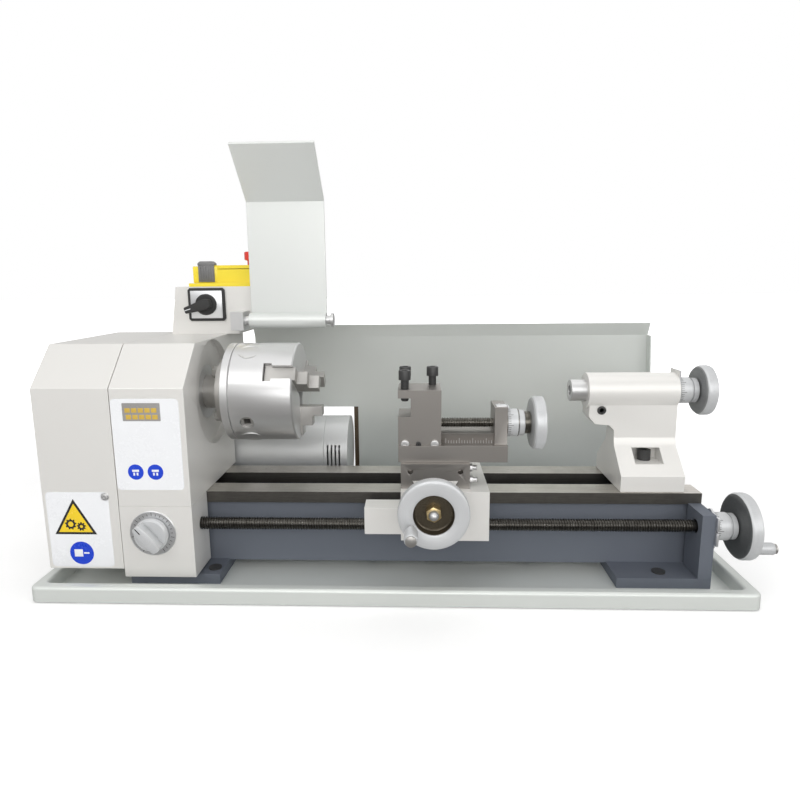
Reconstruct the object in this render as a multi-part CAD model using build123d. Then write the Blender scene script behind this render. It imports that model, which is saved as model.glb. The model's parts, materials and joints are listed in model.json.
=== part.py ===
"""Small bench metal lathe: one STEP file for each piece.

Frame, in millimetres: +X runs along the spindle from the headstock to the tailstock, the operator stands
on the -Y side, +Z is up. The origin is under the spindle axis, on the plane of the tray's underside.
"""
import math
import os

from build123d import *

# --- driving sizes -----------------------------------------------------------------------------------
# clearances
RUN = 0.05            # radial running clearance of every shaft in its bearing
SLIP = 0.05           # clearance of a sliding way
GAP = 0.4             # clearance between parts that pass each other

# overall sizes
CENTRE_HEIGHT = 75.0  # spindle axis above the bed ways
TRAY_LEN = 532.0
BED_W = 70.0
BED_H = 66.5

# tray
TRAY_T = 1.5
TRAY_RIM = 12.0
TRAY_LIP = 9.0
TRAY_FRONT_OUT = 53.0  # beyond the bed, on the operator's side
TRAY_BACK_OUT = 87.0

# bed
BED_INSET_LEFT = 64.5
BED_INSET_RIGHT = 24.0
WAY_W = 21.0
WAY_T = 9.0
BED_WALL = 7.0
WALL_INSET = 3.0
BED_RIBS = 4
RIB_DROP = 10.0       # the ribs end below the tailstock's clamp plate
FOOT_LEN = 70.0
FOOT_T = 8.0
FOOT_OUT = 25.0
BOLT_INSET = 11.0
BOLT_R = 3.0
BOLT_HOLE_R = 3.3
BOLT_HEAD_R = 5.0

# headstock
HEAD_LEN = 55.0
HEAD_FRONT_OUT = 34.0
HEAD_BACK_OUT = 10.0
HEAD_CAP = 4.0        # above the chuck's circle
HEAD_SLOPE = 29.5     # height and depth of the sloping top front
HEAD_SHELF_H = 44.0
HEAD_WALL = 11.0
RECESS_GAP = 3.0
RECESS_DEPTH = 6.0
BOX_BOTTOM = 11.5
BOX_WALL = 3.0
PLATE_T = 5.0
COVER_LEN = 58.0
COVER_WALL = 2.5
COVER_BOTTOM = 18.0
COVER_BACK_OUT = 28.0  # beyond the motor's axis
COVER_SLOPE = 44.0
COVER_POST_IN = 17.0
COVER_POST_H = 18.0
COVER_POST_R = 4.0

# spindle
SPINDLE_R = 14.0
SPINDLE_BORE_R = 5.5
SPINDLE_TAIL_R = 9.0
SPINDLE_TAIL_OUT = 44.5
FLANGE_R = 27.0
FLANGE_T = 8.0
BEARING_R = 22.0
BEARING_W = 10.0

# chuck
CHUCK_R = 40.0
CHUCK_LEN = 50.0
BACKPLATE_T = 6.0
CHUCK_REACH = 72.0    # chuck face from the headstock
CHUCK_BORE_R = 8.0
JAW_ANGLES = (58, 178, 298)
KEY_ANGLES = (118, 238, 358)
JAW_W = 11.0
JAW_STEP = 8.0
JAW_REST = 12.0
JAW_SINK = 6.0
JAW_RIB = 6.0
JAW_RIB_OUT = 2.0
PINION_R = 5.5
PINION_INSET = 13.5
KEY_SQUARE = 5.2
SCROLL_INSET = 22.0
SCROLL_MARGIN = 9.0
SCROLL_T = 5.0
SCROLL_HUB_R = 12.0
CHUCK_NUT_R = 20.5

# motor and belt
MOTOR_BACK = 49.0     # motor axis behind the bed
MOTOR_RISE = 2.0      # motor axis above the ways
MOTOR_R = 33.0
MOTOR_WALL = 3.0
MOTOR_LEN = 158.0
MOTOR_CAP_LEN = 22.0
MOTOR_SHAFT_R = 5.0
MOTOR_SLOTS = 4
MOTOR_SLOT_PITCH = 3.6
MOTOR_SLOT_W = 1.6
MOTOR_PULLEY_R = 13.0
SPINDLE_PULLEY_R = 36.0
PULLEY_W = 10.0
BELT_T = 2.0
BELT_CLEAR = 0.3

# change gears
GEAR_MODULE = 1.0
GEAR_W = 7.0
GEAR_GAP = 4.0
SPINDLE_TEETH = 25
STUD_TEETH = 50
LEAD_TEETH = 28
BACKLASH = 0.3
STUD_ANGLE = 250.0
STUD_R = 5.0
STUD_HEAD_R = 8.0
STUD_BOSS_R = 9.0

# leadscrew, dials and handwheels
LEAD_R = 5.0
LEAD_OUT = 15.0
LEAD_DROP = 20.4
BRACKET_T = 10.0
BRACKET_OUT = 26.0
BRACKET_DROP = 8.0
INDEX_T = 1.6
INDEX_HALF = 9.0
DIAL_GAP = 0.3
DIAL_R = 10.5
DIAL_LEN = 10.5
COLLAR_LEN = 5.0
COLLAR_STEP = 2.0
BIG_WHEEL_R = 25.0
SMALL_WHEEL_R = 20.0
WHEEL_T = 10.0
WHEEL_DISH = 4.0
WHEEL_RIM_SHARE = 0.8
WHEEL_HUB_SHARE = 0.38
GRIP_SHARE = 0.72
GRIP_R = 5.5
GRIP_LEN = 19.0
GRIP_PIN_R = 1.5
GRIP_BOSS_R = 4.5
GRIP_BOSS_H = 2.0
GRIP_HEAD_R = 3.0
LEAD_GRIP_ANGLE = -90.0
CROSS_GRIP_ANGLE = 210.0

# carriage
SADDLE_REACH = 57.0   # saddle's left side from the chuck face
SADDLE_LEN = 92.0
SADDLE_T = 12.0
SADDLE_BACK_OUT = 3.0
SADDLE_GUIDE = 6.0
APRON_OUT = 33.0
APRON_T = 9.0
APRON_DROP = 5.6      # below the leadscrew's axis
WING_LOW_IN = 4.9     # the apron's left wing, in from the apron's bottom
WING_TOP_IN = 0.6     # and below the ways' top
WING_DEEP = 18.0
LEAD_NUT_INSET = 20.0
LEAD_NUT_LEN = 22.0
LEAD_NUT_HALF = 9.0
CROSS_INSET = 27.0
CROSS_W = 51.0
CROSS_H = 19.0
CROSS_FRONT_IN = 7.0
CROSS_BACK_IN = 9.0
DOVE_H = 6.0
DOVE_TOP_W = 34.0
DOVE_FOOT_W = 27.0
DOVE_EASE = 0.3       # more room at a dovetail's foot than at its top
CROSS_SCREW_INSET = 23.5
CROSS_SCREW_DROP = 6.4
CROSS_SCREW_R = 3.2
CROSS_GROOVE_HALF = 6.5
CROSS_NUT_HALF = 6.0

# top slide and tool post
TOP_INSET = 2.0       # left of the cross slide
TOP_LEN = 81.0
TOP_FRONT_IN = 22.4
TOP_W = 36.0
TOP_BASE_T = 12.5
TOP_BRACKET_T = 9.5
TOP_BRACKET_H = 28.0
TOP_BRACKET_IN = 4.0
TOP_SCREW_RISE = 13.8
TOP_SCREW_R = 3.2
TOP_DIAL_LEN = 9.0
RAIL_H = 8.0
RAIL_TOP_W = 24.0
RAIL_FOOT_W = 19.0
POST_LEN = 32.0
POST_CAP = 6.0
SLOT_DROP = 10.0      # the slot's floor below the spindle axis
SLOT_H = 14.0
SLOT_DEEP = 9.5
CLAMP_R = 2.5
CLAMP_HEAD_R = 4.5
CLAMP_STAND = 7.0
CLAMP_INSET = 6.0

# tailstock
TAIL_INSET = 62.0
TAIL_LEN = 49.0
TAIL_W = 66.0
TAIL_FOOT_H = 12.5
TAIL_NECK_RISE = 32.0
TAIL_NECK_W = 20.0
TAIL_SPLAY = 1.5
TAIL_POCKET_FLOOR = 20.0
TAIL_POCKET_TOP = 30.5
TAIL_POCKET_HALF = 11.0
TAIL_BOLT_OUT = 10.5
TAIL_BOLT_R = 3.0
TAIL_BOLT_HEAD_R = 5.2
TAIL_LOBE_DROP = 26.0
TAIL_PLATE_T = 6.0
TAIL_PLATE_HALF = 16.0
BARREL_R = 14.5
BARREL_REACH = 22.0
BARREL_LEN = 71.0
BARREL_END = 6.0
QUILL_R = 8.8
QUILL_LEN = 62.0
QUILL_OUT = 12.5
QUILL_BORE_R = 4.0
QUILL_BORE_DEEP = 24.0
QUILL_SCREW_R = 3.5
QUILL_SCREW_DEEP = 34.0
QUILL_SCREW_CLEAR = 2.0

# splash guard
SPLASH_OUT = 75.0
SPLASH_T = 1.2
SPLASH_RISE = 35.0
SPLASH_LEFT_IN = 61.5
SPLASH_RIGHT_OUT = 4.0
SPLASH_FLARE = 8.0
SPLASH_LIP = 12.0
SPLASH_LIP_LEAN = 6.0
SPLASH_FOOT = 8.0
WINDOW_GAP = 5.5
WINDOW_RISE = 4.0

# electrics tower, switches and controls
TOWER_H = 41.5
TOWER_INSET = 10.5
TOWER_LEN = 92.5
TOWER_SHELF_DROP = 10.5
TOWER_BEVEL_OUT = 10.5
TOWER_BEVEL_H = 12.0
TOWER_WALL = 2.5
TOWER_SPLAY = 6.0
SELECTOR_IN = 27.5
SELECTOR_DROP = 15.5
SELECTOR_R = 8.5
SELECTOR_PLATE_HALF = (15.0, 12.0)
KNOB_SHAFT_R = 3.0
STOP_IN = 11.0
STOP_LEN = 76.0
STOP_SIDE = 3.0
STOP_H = 15.0
BUTTON_IN = 22.0
BUTTON_R = 7.5
MUSHROOM_R = 8.5
MUSHROOM_STEM_R = 6.0
LID_T = 3.0
LID_BARREL_R = 2.5
LID_PIN_R = 1.2
EAR_T = 2.0
SPEED_IN = 24.5
SPEED_DROP = 21.0
SPEED_R = 17.5
SPEED_KNOB_R = 12.5
SPEED_BAR_HALF = 3.5

# chuck guard
GUARD_FRONT = 14.0    # hinge in front of the tower
GUARD_RISE = 12.4     # hinge above the headstock
GUARD_LEN = 66.0
GUARD_INSET = 47.5    # hinge end left of the chuck face
GUARD_H = 100.0
GUARD_BENT = 57.0
GUARD_T = 2.0
GUARD_LEAN = 49.0
ARBOR_R = 4.0
ARBOR_BLOCK_HALF = 8.0
TUBE_R = 6.5

# --- places that follow from them --------------------------------------------------------------------
WAY_Z = TRAY_T + BED_H
AXIS_Z = WAY_Z + CENTRE_HEIGHT
BED_HALF = BED_W / 2
BED_LEFT = -TRAY_LEN / 2 + BED_INSET_LEFT
BED_RIGHT = TRAY_LEN / 2 - BED_INSET_RIGHT
TRAY_FRONT = -BED_HALF - TRAY_FRONT_OUT
TRAY_BACK = BED_HALF + TRAY_BACK_OUT
FOOT_TOP = TRAY_T + FOOT_T
WAY_UNDER = WAY_Z - WAY_T

HEAD_RIGHT = BED_LEFT + HEAD_LEN
HEAD_FRONT = -BED_HALF - HEAD_FRONT_OUT
HEAD_BACK = BED_HALF + HEAD_BACK_OUT
HEAD_TOP = AXIS_Z + CHUCK_R + HEAD_CAP
HEAD_CREASE = HEAD_TOP - HEAD_SLOPE
HEAD_SHELF = WAY_Z + HEAD_SHELF_H
RECESS_R = CHUCK_R + RECESS_GAP
RECESS_FACE = HEAD_RIGHT - RECESS_DEPTH
BOX_BACK = -BED_HALF - GAP
PLATE_X = BED_LEFT - PLATE_T
COVER_X = BED_LEFT - COVER_LEN

MOTOR_Y = BED_HALF + MOTOR_BACK
MOTOR_Z = WAY_Z + MOTOR_RISE
MOTOR_X1 = BED_LEFT + MOTOR_LEN
MOTOR_CAP_X = MOTOR_X1 - MOTOR_CAP_LEN
HEAD_REAR_TOP = MOTOR_Y + 8.0
COVER_BACK = MOTOR_Y + COVER_BACK_OUT
COVER_POST_Y = HEAD_FRONT + COVER_POST_IN
COVER_POST_Z = WAY_Z + COVER_POST_H

CHUCK_FACE = HEAD_RIGHT + CHUCK_REACH
BODY_X0 = CHUCK_FACE - CHUCK_LEN
FLANGE_X = BODY_X0 - BACKPLATE_T
PINION_X = BODY_X0 + PINION_INSET
SCROLL_X = BODY_X0 + SCROLL_INSET
SCROLL_R = CHUCK_R - SCROLL_MARGIN
PINION_IN = SCROLL_R - 2 * PINION_R
JAW_DEPTH = CHUCK_FACE - SCROLL_X - SCROLL_T - 2 * GAP
SPINDLE_END = BED_LEFT - SPINDLE_TAIL_OUT
SPINDLE_GEAR_X = PLATE_X - GEAR_W - GEAR_GAP
PULLEY_X = SPINDLE_GEAR_X - PULLEY_W - GEAR_GAP
LEAD_GEAR_X = PLATE_X - GEAR_W - GEAR_GAP - 1

LEAD_Y = -BED_HALF - LEAD_OUT
LEAD_Z = WAY_Z - LEAD_DROP
LEAD_STUB = LEAD_R - 1
BRACKET_X1 = BED_RIGHT - 0.5
BRACKET_X0 = BRACKET_X1 - BRACKET_T
BRACKET_TOP = WAY_Z - BRACKET_DROP

SADDLE_LEFT = CHUCK_FACE + SADDLE_REACH
SADDLE_RIGHT = SADDLE_LEFT + SADDLE_LEN
SADDLE_TOP = WAY_Z + SADDLE_T
SADDLE_BACK = BED_HALF + SADDLE_BACK_OUT
APRON_FRONT = -BED_HALF - APRON_OUT
APRON_BOTTOM = LEAD_Z - APRON_DROP
CROSS_X0 = SADDLE_LEFT + CROSS_INSET
CROSS_X1 = CROSS_X0 + CROSS_W
CROSS_MID = (CROSS_X0 + CROSS_X1) / 2
CROSS_TOP = SADDLE_TOP + CROSS_H
CROSS_FRONT = APRON_FRONT + CROSS_FRONT_IN
CROSS_BACK = BED_HALF - CROSS_BACK_IN
CROSS_SCREW_X = CROSS_X0 + CROSS_SCREW_INSET
CROSS_SCREW_Z = SADDLE_TOP - CROSS_SCREW_DROP
DOVE_TOP = SADDLE_TOP + DOVE_H
CROSS_DIAL_R = DOVE_TOP - CROSS_SCREW_Z - GAP

TOP_X0 = CROSS_X0 - TOP_INSET
TOP_X1 = TOP_X0 + TOP_LEN
TOP_Y = CROSS_FRONT + TOP_FRONT_IN
TOP_BASE_TOP = CROSS_TOP + TOP_BASE_T
TOP_SCREW_Z = TOP_BASE_TOP + TOP_SCREW_RISE
RAIL_TOP = TOP_BASE_TOP + RAIL_H
POST_X0 = TOP_X0
POST_X1 = POST_X0 + POST_LEN
POST_Y0 = TOP_Y - POST_LEN / 2
POST_Y1 = TOP_Y + POST_LEN / 2
SLOT_LOW = AXIS_Z - SLOT_DROP
SLOT_TOP = SLOT_LOW + SLOT_H
POST_TOP = SLOT_TOP + POST_CAP

TAIL_X0 = BED_RIGHT - TAIL_INSET
TAIL_X1 = TAIL_X0 + TAIL_LEN
TAIL_MID = TAIL_X0 + TAIL_LEN / 2
TAIL_NECK_Z = WAY_Z + TAIL_NECK_RISE
TAIL_LOW = WAY_Z + SLIP
BARREL_X0 = TAIL_X0 - BARREL_REACH
BARREL_X1 = BARREL_X0 + BARREL_LEN
QUILL_TIP = BARREL_X0 - QUILL_OUT
QUILL_END = QUILL_TIP + QUILL_LEN

SPLASH_Y = BED_HALF + SPLASH_OUT
SPLASH_TOP = AXIS_Z + SPLASH_RISE
SPLASH_LEFT = BED_LEFT + SPLASH_LEFT_IN
SPLASH_RIGHT = BED_RIGHT + SPLASH_RIGHT_OUT
WINDOW_X1 = MOTOR_X1 + WINDOW_GAP
WINDOW_TOP = MOTOR_Z + MOTOR_R + WINDOW_RISE

TOWER_X0 = BED_LEFT + TOWER_INSET
TOWER_X1 = TOWER_X0 + TOWER_LEN
TOWER_Y0 = HEAD_BACK - 1
TOWER_TOP = HEAD_TOP + TOWER_H
TOWER_SHELF = TOWER_TOP - TOWER_SHELF_DROP
TOWER_BEVEL_X = HEAD_RIGHT + TOWER_BEVEL_OUT
SELECTOR_X = TOWER_X0 + SELECTOR_IN
SELECTOR_Z = TOWER_TOP - SELECTOR_DROP
STOP_X0 = TOWER_X0 + STOP_IN
STOP_X1 = STOP_X0 + STOP_LEN
STOP_Y0 = TOWER_Y0 + STOP_SIDE
STOP_Y1 = HEAD_REAR_TOP - STOP_SIDE
STOP_MID_Y = (STOP_Y0 + STOP_Y1 - 1) / 2
MUSHROOM_X = STOP_X1 - BUTTON_IN
LID_Z = TOWER_TOP + STOP_H + 0.5
HINGE_X = STOP_X1 - 4
SPEED_X = BED_LEFT + SPEED_IN
SPEED_Z = WAY_Z - SPEED_DROP

GUARD_X0 = CHUCK_FACE - GUARD_INSET
GUARD_X1 = GUARD_X0 + GUARD_LEN
GUARD_Y = TOWER_Y0 - GUARD_FRONT
GUARD_Z = HEAD_TOP + GUARD_RISE

# --- shape helpers -----------------------------------------------------------------------------------


def box(x0, x1, y0, y1, z0, z1):
    """A block given by its corners."""
    return Pos((x0 + x1) / 2, (y0 + y1) / 2, (z0 + z1) / 2) * Box(x1 - x0, y1 - y0, z1 - z0)


def rod_x(x0, x1, y, z, r):
    """A round bar along X."""
    return Pos((x0 + x1) / 2, y, z) * Rot(0, 90, 0) * Cylinder(r, x1 - x0)


def rod_y(y0, y1, x, z, r):
    """A round bar along Y."""
    return Pos(x, (y0 + y1) / 2, z) * Rot(90, 0, 0) * Cylinder(r, y1 - y0)


def rod_z(z0, z1, x, y, r):
    """A round bar along Z."""
    return Pos(x, y, (z0 + z1) / 2) * Cylinder(r, z1 - z0)


def ring_x(x0, x1, y, z, r, hole):
    """A ring about an axis along X."""
    return rod_x(x0, x1, y, z, r) - rod_x(x0 - 1, x1 + 1, y, z, hole)


def prism_x(points, x0, x1):
    """A (y, z) outline pushed from x0 to x1."""
    plane = Plane(origin=(x0, 0, 0), x_dir=(0, 1, 0), z_dir=(1, 0, 0))
    return extrude(plane * make_face(Polyline(*points, close=True)), x1 - x0)


def prism_y(points, y0, y1):
    """An (x, z) outline pushed from y0 to y1."""
    plane = Plane(origin=(0, y0, 0), x_dir=(1, 0, 0), z_dir=(0, -1, 0))
    return extrude(plane * make_face(Polyline(*points, close=True)), -(y1 - y0))


def hex_x(x0, x1, y, z, across):
    """A hexagon bar along X, given across its flats."""
    plane = Plane(origin=(x0, y, z), x_dir=(0, 1, 0), z_dir=(1, 0, 0))
    return extrude(plane * RegularPolygon(across / 2, 6, False), x1 - x0)


def hex_y(y0, y1, x, z, across):
    """A hexagon bar along Y, given across its flats."""
    plane = Plane(origin=(x, y0, z), x_dir=(1, 0, 0), z_dir=(0, -1, 0))
    return extrude(plane * RegularPolygon(across / 2, 6, False), -(y1 - y0))


def cap_screw_z(x, y, seat, head_r, shank_r, length):
    """A socket cap screw, head upwards on its seat."""
    head = rod_z(seat, seat + 1.6 * head_r, x, y, head_r)
    socket = rod_z(seat + 0.8 * head_r, seat + 2 * head_r, x, y, 0.5 * head_r)
    return head - socket + rod_z(seat - length, seat + 0.1, x, y, shank_r)


def group(*solids):
    """Separate solids in one node."""
    return Compound(children=list(solids))


def union(shapes):
    """All the shapes in one."""
    total = shapes[0]
    for shape in shapes[1:]:
        total = total + shape
    return total


def gear(teeth, x0, width, y, z, hole_r, phase=0.0):
    """A spur gear about X, with involute flanks; phase turns its first tooth away from +Y, in degrees."""
    pitch_r = GEAR_MODULE * teeth / 2
    base_r = pitch_r * math.cos(math.radians(20))
    tip_r = pitch_r + 0.9 * GEAR_MODULE
    root_r = pitch_r - 1.25 * GEAR_MODULE

    def flank(r):
        """Half the tooth's angle at radius r."""
        def inv(radius):
            a = math.acos(min(1.0, base_r / radius))
            return math.tan(a) - a
        half_pitch = (math.pi / 2 * GEAR_MODULE - BACKLASH / 2) / (2 * pitch_r)
        return half_pitch + inv(pitch_r) - inv(max(r, base_r))

    radii = [root_r, max(root_r + 0.05, base_r), pitch_r, tip_r]
    points = []
    for tooth in range(teeth):
        middle = 2 * math.pi * tooth / teeth + math.radians(phase)
        for side in (-1, 1):
            for r in (radii if side < 0 else radii[::-1]):
                a = middle + side * flank(r)
                points.append((y + r * math.cos(a), z + r * math.sin(a)))
    return prism_x(points, x0, x0 + width) - rod_x(x0 - 1, x0 + width + 1, y, z, hole_r)


def handwheel_x(x0, y, z, r, hole_r, grip_angle=None):
    """A dished wheel about X with its hub and, where it has one, the seat of its grip."""
    face = x0 + WHEEL_T
    wheel = rod_x(x0, face, y, z, r)
    wheel = wheel - rod_x(face - WHEEL_DISH, face + 1, y, z, WHEEL_RIM_SHARE * r)
    wheel = wheel + rod_x(x0, face - 1, y, z, WHEEL_HUB_SHARE * r)
    if grip_angle is not None:
        gy, gz = grip_place(y, z, r, grip_angle)
        wheel = wheel + rod_x(x0, face + GRIP_BOSS_H, gy, gz, GRIP_BOSS_R)
        wheel = wheel - rod_x(x0 - 1, face + GRIP_BOSS_H + 1, gy, gz, GRIP_PIN_R)
    return wheel - rod_x(x0 - 1, face + 1, y, z, hole_r)


def grip_place(a, b, r, angle):
    """The centre of a crank grip on a wheel of radius r."""
    reach = GRIP_SHARE * r
    return a + reach * math.cos(math.radians(angle)), b + reach * math.sin(math.radians(angle))


def grip():
    """A turned grip about Z, starting at the origin, without its bore."""
    body = Pos(0, 0, GRIP_LEN / 2) * Cylinder(GRIP_R, GRIP_LEN)
    return fillet(body.edges().filter_by(GeomType.CIRCLE), 2)


parts = {}

# --- tray, splash guard ------------------------------------------------------------------------------


def chip_tray():
    """A pressed tray with a rim that is rolled outwards."""
    half = TRAY_LEN / 2
    outer = box(-half, half, TRAY_FRONT, TRAY_BACK, 0, TRAY_RIM)
    outer = fillet(outer.edges().filter_by(Axis.Z), 6)
    lip = box(-half + TRAY_LIP, half - TRAY_LIP, TRAY_FRONT + TRAY_LIP, TRAY_BACK - TRAY_LIP,
              TRAY_T, TRAY_RIM + 1)
    tray = outer - fillet(lip.edges().filter_by(Axis.Z), 4)
    rim = tray.edges().group_by(Axis.Z)[-1]
    return fillet(rim, 2.5)


def tray_holes():
    """The four bolt holes through tray and feet, as (x, y)."""
    xs = (HEAD_RIGHT + BOLT_INSET - 3, BED_RIGHT - FOOT_LEN / 2)
    return [(x, side * (BED_HALF + FOOT_OUT - BOLT_INSET)) for x in xs for side in (-1, 1)]


bolt_holes = union([rod_z(-1, FOOT_TOP + 1, x, y, BOLT_HOLE_R) for x, y in tray_holes()])
parts["chip_tray"] = chip_tray() - bolt_holes


def splash_guard():
    """A sheet that stands behind the bed, with a lip along its top and a window round the motor."""
    top, foot, back = SPLASH_TOP, TRAY_T, SPLASH_Y + SPLASH_T
    flare = SPLASH_RIGHT + SPLASH_FLARE
    sheet = prism_y([(SPLASH_LEFT, foot), (flare, foot), (SPLASH_RIGHT, top), (SPLASH_LEFT, top)],
                    SPLASH_Y, back)
    lip = prism_x([(SPLASH_Y, top - 0.1), (back, top - 0.1), (back - SPLASH_LIP_LEAN, top + SPLASH_LIP),
                   (SPLASH_Y - SPLASH_LIP_LEAN, top + SPLASH_LIP)], SPLASH_LEFT, SPLASH_RIGHT)
    wing = prism_y([(flare - SPLASH_T, foot), (flare, foot), (SPLASH_RIGHT, top),
                    (SPLASH_RIGHT - SPLASH_T, top)], SPLASH_Y - SPLASH_FOOT - 2, SPLASH_Y + 0.1)
    flange = box(SPLASH_LEFT, flare - SPLASH_T, SPLASH_Y - SPLASH_FOOT, SPLASH_Y + 0.1,
                 foot, foot + SPLASH_T)
    window = box(SPLASH_LEFT - 1, WINDOW_X1, SPLASH_Y - SPLASH_FOOT - 1, back + 1, foot - 1, WINDOW_TOP)
    return sheet + lip + wing + flange - window


parts["splash_guard"] = splash_guard()
splash_xs = (WINDOW_X1 + 20, (WINDOW_X1 + SPLASH_RIGHT) / 2, SPLASH_RIGHT - 20)
splash_screws = [rod_z(TRAY_T + SPLASH_T, TRAY_T + SPLASH_T + 2, x, SPLASH_Y - SPLASH_FOOT / 2, 2.6)
                 for x in splash_xs]

# --- bed ---------------------------------------------------------------------------------------------


def bed():
    """A ribbed casting: two ways over two walls, on two splayed feet."""
    slot = BED_HALF - WAY_W
    wall = BED_HALF - WALL_INSET
    low = FOOT_TOP - 1
    body = box(BED_LEFT, BED_RIGHT, -BED_HALF, -slot, WAY_UNDER, WAY_Z)
    body = body + box(BED_LEFT, BED_RIGHT, slot, BED_HALF, WAY_UNDER, WAY_Z)
    body = body + box(BED_LEFT, BED_RIGHT, wall - BED_WALL, wall, low, WAY_UNDER + 0.1)
    body = body + box(BED_LEFT, BED_RIGHT, -wall, -wall + BED_WALL, low, WAY_UNDER + 0.1)
    for i in range(BED_RIBS):
        x = HEAD_RIGHT + i * (BED_RIGHT - HEAD_RIGHT - BED_WALL) / (BED_RIBS - 1)
        body = body + box(x, x + BED_WALL, -wall + 1, wall - 1, low, WAY_UNDER - RIB_DROP)
    for x0 in (BED_LEFT, BED_RIGHT - FOOT_LEN):
        body = body + box(x0, x0 + FOOT_LEN, -BED_HALF - FOOT_OUT, BED_HALF + FOOT_OUT, TRAY_T, FOOT_TOP)
    return body


parts["bed"] = bed() - bolt_holes
bed_bolts = [cap_screw_z(x, y, FOOT_TOP, BOLT_HEAD_R, BOLT_R, FOOT_TOP) for x, y in tray_holes()]

# --- headstock ---------------------------------------------------------------------------------------
HEAD_OUTLINE = [(HEAD_FRONT, WAY_Z), (HEAD_FRONT, HEAD_CREASE), (HEAD_FRONT + HEAD_SLOPE, HEAD_TOP),
                (HEAD_REAR_TOP, HEAD_TOP), (HEAD_REAR_TOP, HEAD_SHELF), (HEAD_BACK, HEAD_SHELF),
                (HEAD_BACK, WAY_Z)]


def headstock():
    """A hollow casting with a bearing seat in each end wall and a round recess round the spindle nose."""
    shell = prism_x(HEAD_OUTLINE, BED_LEFT, HEAD_RIGHT)
    hollow = box(BED_LEFT + HEAD_WALL, RECESS_FACE - HEAD_WALL, HEAD_FRONT + 6, HEAD_BACK - 6,
                 WAY_Z + 8, HEAD_CREASE - 4)
    shell = shell - hollow - rod_x(RECESS_FACE, HEAD_RIGHT + 1, 0, AXIS_Z, RECESS_R)
    shell = shell - rod_x(BED_LEFT - 1, BED_LEFT + BEARING_W, 0, AXIS_Z, BEARING_R)
    shell = shell - rod_x(RECESS_FACE - BEARING_W, RECESS_FACE + 1, 0, AXIS_Z, BEARING_R)
    return shell - rod_x(BED_LEFT - 1, HEAD_RIGHT + 1, 0, AXIS_Z, SPINDLE_R + 2)


def bearing(x0):
    """One spindle bearing, as a sealed ring."""
    return ring_x(x0, x0 + BEARING_W, 0, AXIS_Z, BEARING_R, SPINDLE_R + RUN)


parts["headstock_housing"] = headstock()
parts["spindle_bearings"] = group(bearing(BED_LEFT), bearing(RECESS_FACE - BEARING_W))


def control_box():
    """The hollow box in front of the bed, with the leadscrew's bush and the speed knob's hole."""
    w = BOX_WALL
    body = box(BED_LEFT, HEAD_RIGHT, HEAD_FRONT, BOX_BACK, BOX_BOTTOM, WAY_Z)
    body = body - box(BED_LEFT + w, HEAD_RIGHT - w, HEAD_FRONT + w, BOX_BACK + 1, BOX_BOTTOM + w, WAY_Z - w)
    body = body + rod_x(HEAD_RIGHT - BRACKET_T, HEAD_RIGHT, LEAD_Y, LEAD_Z, LEAD_R + 4)
    body = body - rod_x(BED_LEFT - 1, HEAD_RIGHT + 1, LEAD_Y, LEAD_Z, LEAD_R + RUN)
    return body - rod_y(HEAD_FRONT - 1, HEAD_FRONT + w + 1, SPEED_X, SPEED_Z, KNOB_SHAFT_R + RUN)


parts["control_box"] = control_box()


def cover_outline(w):
    """The cover's side profile, drawn in by w."""
    return [(HEAD_FRONT + w, COVER_BOTTOM + w), (HEAD_FRONT + w, HEAD_CREASE - w / 2),
            (HEAD_FRONT + HEAD_SLOPE + w / 2, HEAD_TOP - w),
            (COVER_BACK - COVER_SLOPE + 3 - w / 2, HEAD_TOP - w),
            (COVER_BACK - w, HEAD_TOP - COVER_SLOPE - w / 2), (COVER_BACK - w, COVER_BOTTOM + w)]


# the end plate carries the motor, the stud arm and the cover, and lets the shafts through
end_plate = prism_x(cover_outline(COVER_WALL + 1), PLATE_X, BED_LEFT)
for plate_y, plate_z, plate_r in ((0, AXIS_Z, SPINDLE_R + 2), (LEAD_Y, LEAD_Z, LEAD_R + GAP),
                                  (MOTOR_Y, MOTOR_Z, MOTOR_SHAFT_R + 3)):
    end_plate = end_plate - rod_x(PLATE_X - 1, BED_LEFT + 1, plate_y, plate_z, plate_r)


def gear_cover():
    """A deep lid of the same front profile as the headstock, open on the headstock side."""
    lid = prism_x(cover_outline(0), COVER_X, BED_LEFT - GAP)
    lid = lid - prism_x(cover_outline(COVER_WALL), COVER_X + COVER_WALL, BED_LEFT)
    bar_hole = rod_x(COVER_X - 1, COVER_X + COVER_WALL + 1, 0, AXIS_Z, SPINDLE_BORE_R + 3)
    return lid - bar_hole - rod_x(COVER_X - 1, BED_LEFT, COVER_POST_Y, COVER_POST_Z, COVER_POST_R / 2 + 0.2)


parts["gear_cover"] = gear_cover()
cover_inside = COVER_X + COVER_WALL
cover_screw = (rod_x(cover_inside, PLATE_X, COVER_POST_Y, COVER_POST_Z, COVER_POST_R)
               + rod_x(COVER_X - 1, cover_inside + 1, COVER_POST_Y, COVER_POST_Z, COVER_POST_R / 2)
               + rod_x(COVER_X - 3, COVER_X, COVER_POST_Y, COVER_POST_Z, COVER_POST_R + 0.5))
parts["frame_screws"] = group(*bed_bolts, *splash_screws, cover_screw)

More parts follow.
